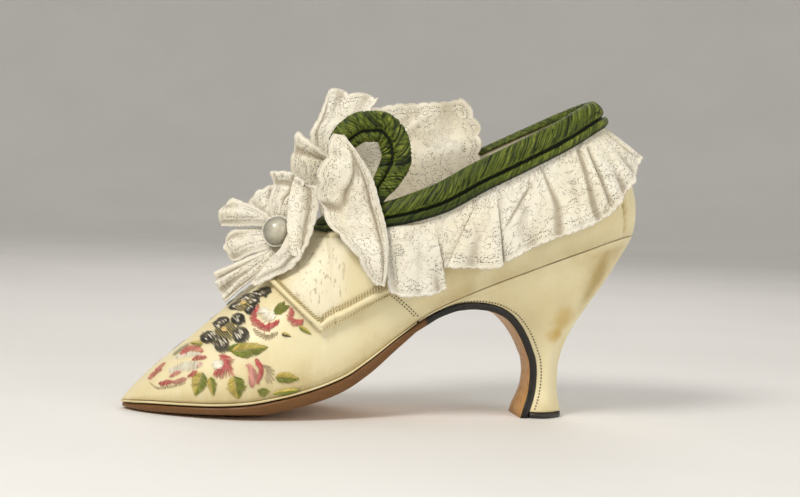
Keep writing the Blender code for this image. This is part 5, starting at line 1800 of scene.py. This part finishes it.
def scalloped(grid, edges):
    """A grid whose free edges are scalloped, and each point's distance from them.

    edges gives each side how wide and deep its scallops are: first and last for the grid's levels,
    left and right for its columns.
    """
    grid = grid.copy()
    levels, columns = grid.shape[:2]
    from_edge = np.full((levels, columns), FAR_FROM_EDGE)
    shares = {"first": 1 - np.linspace(0, 1, levels), "last": np.linspace(0, 1, levels)}
    shares.update({"left": 1 - np.linspace(0, 1, columns), "right": np.linspace(0, 1, columns)})
    for side, (wide, deep) in edges.items():
        sideways = side in ("left", "right")
        work = grid.swapaxes(0, 1) if sideways else grid
        end, before = (0, 1) if side in ("first", "left") else (-1, -2)
        line, inner = work[end], work[before]
        out = unit(line - inner)
        push = deep * millimetres("scallop_depth") * (scallops(arc(line), wide * millimetres("scallop_pitch")) - 0.5)
        near = ramp(1 - SCALLOP_REACH, 1.0, shares[side])
        work += near[:, None, None] * (out * push[:, None])[None]
        gone = arc(work)
        gone = gone[-1] - gone if end == -1 else gone
        from_edge = np.minimum(from_edge, gone.T if sideways else gone)
    return grid, from_edge


def creases(grid, outwards):
    """How deep each point of a sheet lies in a fold, seen from the side that outwards points to; the lace is painted
    darker there as painted shade.
    """
    normals = unit(np.cross(np.gradient(grid, axis=1), np.gradient(grid, axis=0)))
    facing = (normals * outwards).sum(-1, keepdims=True)
    normals = np.where(facing < 0, -normals, normals)
    total = np.zeros(grid.shape[:2])
    for axis in (0, 1):
        step = np.linalg.norm(np.diff(grid, axis=axis), axis=-1).mean()
        for span in (1.3, 3.0):
            at = np.arange(grid.shape[axis])
            inside = np.minimum(np.minimum(at, len(at) - 1 - at), max(1, round(span / step)))
            middle = (grid.take(at + inside, axis) + grid.take(at - inside, axis)) / 2 - grid
            total = np.maximum(total, (middle * normals).sum(-1) / (0.30 * span))
    return np.clip(total, 0.0, 1.0)


def cloth_coordinates(grid, shift):
    """Millimetres along and across a sheet; a long one is measured along its middle."""
    u = arc(grid.swapaxes(0, 1)).T
    u = np.broadcast_to(u.mean(0), u.shape) if u.shape[1] > 400 else u - u[:, -1:] / 2
    return np.stack([u + shift, arc(grid) + 0.37 * shift], -1)


def lace_piece(name, sheets, node, hem=1.0):
    """A piece of lace from sheets, each a grid of levels by columns, with a cord in its free edges.

    A sheet gives its grid, its free edges, where it was cut from the pattern and which way it faces.
    """
    points, quads, uv, edge, fold, lines = [], [], [], [], [], []
    for grid, edges, shift, outwards in sheets:
        grid, from_edge = scalloped(grid, edges)
        quads.append(grid_quads(*grid.shape[:2], sum(map(len, points))))
        points.append(grid.reshape(-1, 3))
        uv.append(grid_uv(cloth_coordinates(grid, shift)))
        edge.append(from_edge.ravel())
        # How deep each point lies in a fold, which the lace finish paints as shade.
        fold.append(creases(grid, outwards).ravel())
        sides = {"first": grid[0], "last": grid[-1], "left": grid[:, 0], "right": grid[:, -1]}
        lines += [sides[side] for side in edges]
    marks = {"from_edge": np.concatenate(edge), "crease": np.concatenate(fold)}
    piece = new_piece(name, np.vstack(points), np.vstack(quads), [lace()], uv=np.vstack(uv), marks=marks)
    thick = piece.modifiers.new("thickness", "SOLIDIFY")
    thick.thickness = sizes().lace
    thick.offset = 0.0
    settle(piece, "lace", node)
    cord = settle(cord_piece(f"{name}_cord", lines, hem * sizes().hem_radius, lace_cord()), "lace")
    length = max(arc(grid.swapaxes(0, 1)).max() for grid, *_ in sheets) * MM * len(sheets)


def frill_points(values, shares, gathered=None):
    """Points of the frill for rows of its table: below 0 it is tucked in behind the ribbon, at 1 is its hem."""
    row, drop, stand, lean = values.T
    row = np.minimum(row, BACK)
    front = 1 - ramp(10.8, 11.8, row)[:, None]
    lift = FRILL_LIFT + (FRILL_SADDLE_LIFT - FRILL_LIFT) * front
    tucked = RIBBON_DEPTH * ribbon_size(row) - FRILL_HIDDEN
    down, under = np.maximum(shares, 0.0), np.minimum(shares, 0.0)
    fall = FRILL_TOP + down[None] * drop[:, None] + under[None] * (FRILL_TOP - tucked)[:, None]
    rows = np.minimum(row[:, None] + lean[:, None] * down[None], BACK)
    t = t_below_top(rows, fall)
    rise = ramp(-0.1 - 0.75 * front, 0.15 * (1 - front), shares[None])
    off = FRILL_TUCK + (lift - FRILL_TUCK) * rise + stand[:, None] * down[None] ** 1.2
    if gathered is not None:
        at = gathered[:, None]
        fade = ramp(0.0, 6.0, at[-1] - at)
        pleat = 0.13 * np.sin(2 * math.pi * at / 4.3 + 2.6 * np.sin(at / 9.0))
        pleat = pleat * (1 - ramp(0.05, 0.35, down))[None] * (0.5 + 0.5 * np.sin(at / 5.3))
        roll = 0.45 * np.sin(2 * math.pi * (at / 11.5 + 0.45 * down[None]) + 2.0 * np.sin(at / 23.0))
        drag = 0.40 * np.sin(2 * math.pi * (at / 17.0 - 0.9 * down[None]) + 1.0)
        off = off + fade * (pleat * ramp(0.0, 0.10, down)[None] + (roll + drag) * (down**1.5)[None])
        for top, foot, width, first, final, height in FRILL_CREASES:
            line = top + (foot - top) * down
            window = ramp(first - 0.06, first + 0.06, down) * ramp(final + 0.08, final - 0.06, down)
            off = off + height * window * bump(rows - line, width)
    return offset_point(rows, t, np.maximum(off, FRILL_TUCK))


class SHOE_OT_frill(bpy.types.Operator):
    """Builds the gathered lace frill that hangs from the ribbon round the quarters"""

    bl_idname = "shoe.frill"
    bl_label = "Collar Frill"

    def execute(self, context):
        table = smooth_table(FRILL_ROWS)
        last = len(FRILL_ROWS) - 1
        fine = np.linspace(0, last, 6000)
        hang = frill_points(table(fine), np.array((1.0,)))[:, 0]
        gone = arc(hang)
        even = np.linspace(0, gone[-1], FRILL_STEPS)
        place = np.interp(even, gone, fine)
        place[-1] = last
        values = table(place)
        shares = np.concatenate([np.linspace(-1.0, 0.0, 7)[:-1], np.linspace(0.0, 1.0, 44)])
        near = frill_points(values, shares, gathered=even)
        near[-1, :, 1] = 0.0
        grid = np.concatenate([near, mirrored(near[-2::-1])]).swapaxes(0, 1)
        axis = np.stack([np.minimum(grid[..., 0], 8.0), 0 * grid[..., 1], grid[..., 2]], -1)
        edges = {"last": (1.0, 1.0), "left": (1.0, 0.6), "right": (1.0, 0.6)}
        sheets = [(grid, edges, 3.0, grid - axis)]
        lace_piece("frill_lace", sheets, "collar_frill", hem=1.3)
        return {"FINISHED"}


def row_sheet(table, outwards, columns, levels):
    """A sheet lofted through rows that run from one edge to the other, bowed outwards."""
    values = smooth_table(table)(np.linspace(0, len(table) - 1, levels))
    share = np.linspace(0, 1, columns)[None, :, None]
    start, end, bow = values[:, None, :3], values[:, None, 3:6], values[:, None, 6:]
    return (1 - share) * start + share * end + bow * 4 * share * (1 - share) * np.array(outwards)


def folded(grid, folds):
    """A sheet moved along its normals by folds of its two shares, from the first level and the left column."""
    normals = unit(np.cross(np.gradient(grid, axis=1), np.gradient(grid, axis=0)))
    v, u = np.meshgrid(np.linspace(0, 1, grid.shape[0]), np.linspace(0, 1, grid.shape[1]), indexing="ij")
    return grid + normals * folds(u, v)[..., None]


def drape_folds(u, v):
    hem = 1.2 * bump(u - 0.94, 0.045) - 0.5 * bump(u - 0.84, 0.05)
    # The upper left of the sheet laps over the rest along a slanting line.
    path = 0.60 - 1.5 * (v - 0.24) + 0.03 * np.sin(30 * v)
    window = ramp(0.14, 0.22, v) * ramp(0.48, 0.42, v)
    lap = (1.2 * ramp(0.05, -0.05, u - path) - 0.6 * bump(u - path - 0.07, 0.04)) * window
    notch = 0.9 * bump(v - 0.46, 0.03) * ramp(0.36, 0.05, u)
    soft = 0.35 * np.sin(5 * u + 7 * v) * ramp(0.1, 0.3, v)
    return -(hem * ramp(0.02, 0.12, v) * ramp(1.0, 0.93, v) + lap - notch + soft)


def plume_folds(u, v):
    # The left of the sheet is turned over in a narrow wedge that starts at its upper corner.
    path = 0.03 + 0.56 * (1 - v)
    turned = ramp(0.20, 0.45, v) * (0.7 * ramp(0.03, -0.03, u - path))
    valley = 0.35 * bump(u - path - 0.05, 0.04) * ramp(0.20, 0.45, v)
    lobes = 0.4 * wave(1.9 * u - 0.2) * ramp(0.6, 1.0, v)
    return -(turned - valley + lobes)


def leaf_folds(u, v):
    lip = 1.1 * bump(v - 0.95, 0.05) - 0.8 * bump(v - 0.83, 0.05)
    return lip - 0.5 * wave(0.8 * u + 0.3 * v) * ramp(0.1, 0.5, v)


def wing_folds(u, v):
    ripple = 1.2 * wave(1.6 * u + 0.5 * v) + 0.8 * np.sin(2 * math.pi * (3.1 * u - 1.1 * v) + 1.0)
    pull = bump(u - 0.35 - 0.9 * (v - 0.55), 0.05) * ramp(0.35, 0.5, v) * ramp(0.95, 0.8, v)
    return (ripple + pull) * ramp(0.35, 0.85, v)


class SHOE_OT_standing_lace(bpy.types.Operator):
    """Builds the lace that stands up behind the instep and hangs beside it"""

    bl_idname = "shoe.standing_lace"
    bl_label = "Standing Lace"

    def execute(self, context):
        ribbons = ["curl_ruche", "collar_ruche"]
        for name, rows, folds, bowed, seen, counts, edges, shift, held, rests_on, hem in (
            ("drape", DRAPE_ROWS, drape_folds, (0, -1, 0), (0, -1, 0), (84, 200),
             {"left": (3.0, 3.0), "right": (1.0, 0.5)}, 40.0, "hung", ribbons, 1.5),
            ("plume", PLUME_ROWS, plume_folds, (-0.4, -0.9, 0), (-0.4, -0.9, 0), (90, 140),
             {"last": (3.0, 3.5), "left": (1.2, 0.6), "right": (1.2, 1.0)}, 80.0, "gathered", ribbons[1:], 1.0),
            ("leaf", LEAF_ROWS, leaf_folds, (-0.5, -0.8, 0.2), (-0.5, -0.8, 0.2), (60, 90),
             {"last": (1.3, 0.7), "left": (1.1, 0.8), "right": (1.0, 0.5)}, 120.0, "gathered", ribbons[1:], 1.3),
            ("wing", WING_ROWS, wing_folds, (0, 1, 0), (0, -1, 0), (180, 120),
             {"last": (1.3, 1.3), "left": (1.2, 1.0), "right": (2.2, 2.8)}, 160.0, "gathered", ribbons[1:], 1.0),
        ):
            grid = folded(row_sheet(rows, bowed, *counts), folds)
            lace_piece(f"{name}_lace", [(grid, edges, shift, np.array(seen))], f"lace_{name}", hem)
        return {"FINISHED"}


# Rosette and pearl


def rosette_frame():
    facing = unit(np.array(ROSETTE_FACING))
    across = unit(np.cross(facing, (0.0, 0.0, 1.0)))
    across = across if across[0] > 0 else -across
    up = np.cross(facing, across)
    return np.array(ROSETTE_MIDDLE), across, (up if up[2] > 0 else -up), facing


def petal_sheet(name, rows):
    """A petal from its root to its rim, across, up and out from the rosette's middle."""
    levels, columns = 64, 56
    along = smooth_table(rows)(np.linspace(0, len(rows) - 1, levels)).reshape(levels, 3, 3)
    u = np.linspace(0, 1, columns)
    grid = np.stack([smooth_table(three, (0.0, 0.5, 1.0))(u) for three in along])
    v = np.linspace(0, 1, levels)[:, None]
    out = 0.25 * np.sin(7 * u + 5 * v) * ramp(0.2, 0.6, v)
    if name == "lower_left":
        out = out + 1.3 * wave(2.5 * u + 0.15) * ramp(0.25, 1.0, v)
    elif name == "upper_left":
        out = out + 0.8 * wave(1.6 * u + 0.2) * ramp(0.5, 1.0, v)
    elif name == "top":
        out = out + 1.3 * bump(v - 0.96, 0.05) - 0.7 * bump(v - 0.85, 0.05)
        out = out - 1.4 * bump(u - 0.66, 0.06) * ramp(0.3, 0.6, v)
    elif name == "left":
        out = out + 0.7 * wave(1.5 * u + 0.4) * ramp(0.3, 1.0, v)
    else:
        rolled = 0.8 * bump(u - 0.95, 0.04) - 0.5 * bump(u - 0.86, 0.05)
        out = out + rolled * ramp(0.0, 0.15, v) * ramp(1.0, 0.85, v)
    grid[..., 2] += out
    return grid


def build_pearl(middle, across, up, facing):
    size = millimetres("pearl_radius")
    centre = middle + facing * (size + 1.6)
    steps, around = 48, 72
    spin = np.linspace(0, 2 * math.pi, around, endpoint=False)
    circle = np.cos(spin)[:, None] * across + np.sin(spin)[:, None] * up
    angle = math.pi * np.arange(1, steps) / steps
    rings = centre - facing * size * np.cos(angle)[:, None, None] + circle * size * np.sin(angle)[:, None, None]
    shank = (rings[:1].mean(1, keepdims=True) + 2.4 * circle)[0] - facing * 3.4
    neck = rings[:1].mean(1) + 2.2 * circle - facing * 0.4
    rings = np.concatenate([shank[None], neck[None], rings])
    # Painted shade: the pearl is painted darker round its rim, on the side away from PEARL_GLOW, so that its middle
    # looks lit.
    towards = unit(unit(facing) + PEARL_LIT)
    rim = 1 - np.clip(unit(rings - centre) @ unit(np.array(PEARL_GLOW)), 0, 1) ** 1.4
    piece = ring_piece("pearl_bead", rings, nacre(), {"rim": rim})
    settle(piece, "pearl", "pearl_button")
    sideways = unit(np.cross(towards, (0.0, 0.0, 1.0)))
    ring = np.cos(spin)[:, None] * sideways + np.sin(spin)[:, None] * np.cross(towards, sideways)
    ring = centre + 0.2 * towards + (size + 0.30) * ring
    ring = np.vstack([ring, ring[:2]])
    settle(cord_piece("pearl_setting", [ring], PEARL_CORD_RADIUS, lace_cord(), 8), "lace")


class SHOE_OT_rosette(bpy.types.Operator):
    """Builds the gathered lace rosette on the instep and the pearl in its middle"""

    bl_idname = "shoe.rosette"
    bl_label = "Rosette and Pearl"

    def execute(self, context):
        middle, across, up, facing = rosette_frame()
        frame = np.stack([across, up, facing])
        surface = skin()
        sheets = []
        for shift, (petal, rows) in enumerate(PETALS.items()):
            grid = petal_sheet(petal, rows) @ frame + middle
            for place in grid.reshape(-1, 3):
                hit = surface.ray_cast(Vector(place + PETAL_RAY * facing), Vector(-facing))[0]
                if hit is not None:
                    place += max(0.0, ROSETTE_REST - (place - np.array(hit)) @ facing) * facing
            edges = {"right": (1.2, 0.9)} if "right" in petal else {"left": (1.1, 0.5), "right": (1.1, 0.5)}
            edges["last"] = (1.3, 1.6)
            sheets.append((grid, edges, 220.0 + 37.0 * shift, facing))
        lace_piece("rosette_lace", sheets, "rosette", hem=1.2)
        build_pearl(middle, across, up, facing)
        return {"FINISHED"}


# Embroidery and stitching


def silk(name):
    return np.array(colour(f"thread_{name}"))


class SHOE_OT_embroidery(bpy.types.Operator):
    """Works the flowers and leaves of the vamp in satin stitch"""

    bl_idname = "shoe.embroidery"
    bl_label = "Embroidery"

    def execute(self, context):
        self.rng = np.random.default_rng(sizes().seed)
        self.threads, self.tints, self.layers = [], [], []
        for motif in STROKES:
            self.stroke(*motif)
        for motif in LEAF_MOTIFS:
            self.leaf(*motif)
        for motif in FLOWERS:
            self.flower(*motif)
        steps = np.linspace(0, 1, 6)
        ends = np.array(self.threads)
        places = ends[:, :1] + steps[None, :, None] * (ends[:, 1:] - ends[:, :1])
        row, t = on_side(places)
        # Threads under the saddle are left out.
        bare = (places[..., 1] < saddle_low(row) - 0.6).all(axis=1)
        row, t, ends = row[bare], t[bare], ends[bare]
        tints, layers = np.array(self.tints)[bare], np.array(self.layers)[bare]
        lengths = np.linalg.norm(ends[:, 1] - ends[:, 0], axis=1)
        pad = np.minimum(0.10 * lengths, 0.5)[:, None] * np.sin(math.pi * steps) ** 0.6
        high = 0.6 * millimetres("thread_radius") + 0.16 * layers[:, None] + pad
        near = offset_point(row, t, high)
        near[..., 1] = np.minimum(near[..., 1], -0.05)
        lines = list(near) + list(mirrored(near))
        tints = np.tile(np.repeat(tints, len(steps), axis=0), (2, 1))
        tints = np.hstack([tints, np.ones((len(tints), 1))])
        marks = {"thickness": np.tile((0.55, 0.9, 1.0, 1.0, 0.9, 0.55), len(lines)), "thread_colour": tints}
        radius, finish = sizes().thread_radius, silk_thread()
        piece = grown("vamp_embroidery", lines, swept_thread(), marks, radius=radius, sides=5, material=finish)
        settle(piece, "ivory_satin")
        return {"FINISHED"}

    def thread(self, start, end, tint, layer):
        self.threads.append((start, end))
        self.tints.append(np.clip(tint * (1 + 0.16 * self.rng.normal()), 0, 1))
        self.layers.append(layer)

    def stroke(self, name, width, slant, pitch_share, path):
        table = smooth_table(path)
        fine = table(np.linspace(0, len(path) - 1, 200))
        gone = arc(fine)
        count = max(4, int(gone[-1] / (millimetres("thread_pitch") * pitch_share)))
        at = (np.arange(count) + 0.5) / count
        middle = np.stack([np.interp(at * gone[-1], gone, fine[:, c]) for c in (0, 1)], -1)
        along = unit(np.gradient(middle, axis=0))
        across = np.stack([-along[:, 1], along[:, 0]], -1)
        half = width / 2 * np.sin(math.pi * np.clip(at, 0.04, 0.96)) ** 0.45
        layer = 0 if name in ("white", "grey") else 1
        for k in range(count):
            reach = (across[k] + slant * along[k]) * half[k]
            ragged = 1 + 0.18 * self.rng.normal(size=2)
            tint = silk(name)
            if name == "red":
                tint = tint + float(np.clip(0.25 + 0.25 * self.rng.normal(), 0, 0.8)) * (silk("pink") - tint)
            self.thread(middle[k] - reach * ragged[0], middle[k] + reach * ragged[1], tint, layer)

    def leaf(self, x, z, tip_x, tip_z, width, left, right):
        base, tip = np.array((x, z)), np.array((tip_x, tip_z))
        axis = tip - base
        across = unit(np.array((-axis[1], axis[0])))
        count = max(5, int(np.linalg.norm(axis) / (1.15 * millimetres("thread_pitch"))))
        for sign, name in ((1, left), (-1, right)):
            for k in range(count):
                s = (k + 0.5) / count
                out = min(1.0, s + 0.16)
                half = width / 2 * math.sin(math.pi * out**0.85) ** 0.8 * (1 + 0.08 * self.rng.normal())
                self.thread(base + axis * s, base + axis * out + sign * half * across, silk(name), 1)

    def flower(self, heart, lobes):
        """Round lobes hatched one way in black, with paler streaks towards an ochre heart."""
        heart = np.array(heart)
        self.hatch(heart, 4.3, ("black", "grey", "black", "olive"), 0)
        slant, side = np.array(FLOWER_SLANT), np.array(FLOWER_SIDE)
        for *lobe, radius in lobes:
            lobe = np.array(lobe)
            self.hatch(lobe, radius, ("black",), 1)
            inner = lobe + 0.22 * radius * unit(heart - lobe)
            for k in range(int(2.1 * radius / millimetres("thread_pitch"))):
                off = self.rng.uniform(-0.72, 0.72)
                room = radius * (math.sqrt(1 - off * off) - 0.28)
                first, last = room * np.array((self.rng.uniform(-0.9, 0.1), self.rng.uniform(0.2, 0.9)))
                foot = inner + radius * off * side
                pale = self.rng.uniform(0.55, 0.9) * silk("white" if k % 3 else "grey")
                self.thread(foot + first * slant, foot + last * slant, pale, 3)
        for k in range(8):
            off = -0.85 + 1.7 * k / 7
            half = 1.15 * math.sqrt(1 - (off / 1.05) ** 2)
            self.thread(heart + (-half, off), heart + (half, off), silk("ochre"), 5)

    def hatch(self, middle, radius, names, layer):
        """Parallel threads over a round place, in colours that take turns."""
        slant, side = np.array(FLOWER_SLANT), np.array(FLOWER_SIDE)
        count = int(2 * radius / (0.9 * millimetres("thread_pitch")))
        for k in range(count):
            off = 2 * (k + 0.5) / count - 1
            reach = radius * math.sqrt(1 - off * off) * (1 + 0.12 * self.rng.normal(size=2))
            foot = middle + radius * off * side
            self.thread(foot - reach[0] * slant, foot + reach[1] * slant, silk(names[k % len(names)]), layer)


class SHOE_OT_stitching(bpy.types.Operator):
    """Sews the heel cover and the side seam"""

    bl_idname = "shoe.stitching"
    bl_label = "Stitching"

    def execute(self, context):
        pitch, thread = sizes().stitch_pitch, sewing_thread("dark")
        rows = np.linspace(0.4, HEEL_LAST - 0.25, 240)
        values = heel_line(rows)
        lengths = np.linalg.norm(values[:, 3:5] - values[:, :2], axis=1)
        line, ahead = (
            np.array([heel_surface(np.array([r]), np.array([off / n]))[0, 0] for r, n in zip(rows, lengths)])
            for off in (1.7, 2.2)
        )
        away = unit(np.cross(np.gradient(line, axis=0), ahead - line))
        away = np.where(away[:, 1:2] > 0, -away, away)
        lines = both_sides(line + 0.12 * away, away)
        settle(stitches("heel_cover_stitches", lines, thread, pitch * 0.8, HEEL_STITCH), "heel_cover")

        lines = []
        for shift in (-0.9, 0.9):
            seam = smooth_table([(x + shift, z) for x, z in SEAM_PATH])
            row, t = on_side(seam(np.linspace(0, len(SEAM_PATH) - 1, 60)))
            lines += both_sides(offset_point(row, t, 0.12), upper_normal(row, t))
        settle(stitches("side_seam_stitches", lines, thread, pitch * 0.85, SEAM_STITCH), "ivory_satin")
        return {"FINISHED"}


# Stage


def set_camera(scene):
    azimuth, elevation, roll = map(math.radians, (CAMERA_AZIMUTH, CAMERA_ELEVATION, CAMERA_ROLL))
    flat = math.cos(elevation)
    away = Vector((math.sin(azimuth) * flat, -math.cos(azimuth) * flat, math.sin(elevation)))
    right = (-away).cross(Vector((0, 0, 1))).normalized()
    up = right.cross(-away)
    tilted = math.cos(roll) * right + math.sin(roll) * up
    upright = -math.sin(roll) * right + math.cos(roll) * up
    turn = Matrix((tilted, upright, away)).transposed().to_4x4()
    lens = bpy.data.cameras.new("photo_camera")
    lens.sensor_width = SENSOR_WIDTH
    lens.lens = SENSOR_WIDTH * (CAMERA_DISTANCE / CAMERA_SCALE) / IMAGE_WIDTH
    made = in_scene("photo_camera", lens)
    made.matrix_world = Matrix.Translation((Vector(CAMERA_TARGET) + CAMERA_DISTANCE * away) * MM) @ turn
    scene.camera = made


class SHOE_OT_stage(bpy.types.Operator):
    """Sets the pale floor, the soft lights and the camera"""

    bl_idname = "shoe.stage"
    bl_label = "Stage"

    def execute(self, context):
        scene = context.scene
        # A round floor that curves up to a wall, so that no horizon shows from any side.
        bend = np.linspace(0, math.pi / 2, 25)
        reach = FLOOR_FLAT + FLOOR_BEND * np.sin(bend[1:])
        radii = np.concatenate([[1.0, 600.0, FLOOR_FLAT], reach, [FLOOR_FLAT + FLOOR_BEND]])[:, None]
        heights = np.concatenate([[0.0, 0.0, 0.0], FLOOR_BEND * (1 - np.cos(bend[1:])), [WALL_TOP]]) - 0.05
        turn = np.linspace(0, 2 * math.pi, FLOOR_AROUND, endpoint=False)[None]
        rings = np.stack([radii * np.cos(turn), radii * np.sin(turn), heights[:, None] + 0 * turn], -1)
        quads = grid_quads(len(radii), FLOOR_AROUND, round_section=True).tolist() + [list(range(FLOOR_AROUND))]
        new_piece("studio_floor", rings.reshape(-1, 3), quads, [floor_finish()])
        world = bpy.data.worlds.new("studio")
        world.use_nodes = True
        sky = world.node_tree.nodes["Background"]
        sky.inputs["Color"].default_value = SKY_COLOUR
        sky.inputs["Strength"].default_value = SKY_STRENGTH
        scene.world = world
        scene.view_settings.view_transform = "Standard"
        for name, place, size, power, tint in LIGHTS:
            light = bpy.data.lights.new(name, "AREA")
            light.shape, light.size, light.energy, light.color = "DISK", size, power, tint
            made = in_scene(name, light)
            made.location = place
            made.rotation_euler = (Vector(LIT_PLACE) - Vector(place)).to_track_quat("-Z", "Y").to_euler()
        set_camera(scene)
        return {"FINISHED"}


class SHOE_PT_panel(bpy.types.Panel):
    """Lists the shoe's pieces in the order in which they are built"""

    bl_idname = "SHOE_PT_panel"
    bl_label = "Court Shoe"
    bl_space_type = "VIEW_3D"
    bl_region_type = "UI"
    bl_category = "Shoe"

    def draw(self, context):
        layout = self.layout
        for operator in OPERATORS:
            layout.operator(operator.bl_idname)
        for settings in (context.scene.shoe_sizes, context.scene.shoe_colours):
            column = layout.column()
            for name in settings.__annotations__:
                column.prop(settings, name)


OPERATORS = (
    SHOE_OT_stage,
    SHOE_OT_upper,
    SHOE_OT_sole,
    SHOE_OT_heel,
    SHOE_OT_saddle,
    SHOE_OT_ribbon,
    SHOE_OT_frill,
    SHOE_OT_standing_lace,
    SHOE_OT_rosette,
    SHOE_OT_embroidery,
    SHOE_OT_stitching,
)
CLASSES = (ShoeSizes, ShoeColours, *OPERATORS, SHOE_PT_panel)


def register():
    for made in CLASSES:
        bpy.utils.register_class(made)
    bpy.types.Scene.shoe_sizes = PointerProperty(type=ShoeSizes)
    bpy.types.Scene.shoe_colours = PointerProperty(type=ShoeColours)


def unregister():
    del bpy.types.Scene.shoe_colours
    del bpy.types.Scene.shoe_sizes
    for made in reversed(CLASSES):
        bpy.utils.unregister_class(made)


def main():
    register()
    for operator in OPERATORS:
        group, name = operator.bl_idname.split(".")
        if "FINISHED" not in getattr(getattr(bpy.ops, group), name)():
            raise RuntimeError(f"{operator.bl_label} did not finish")


if __name__ == "__main__":
    main()
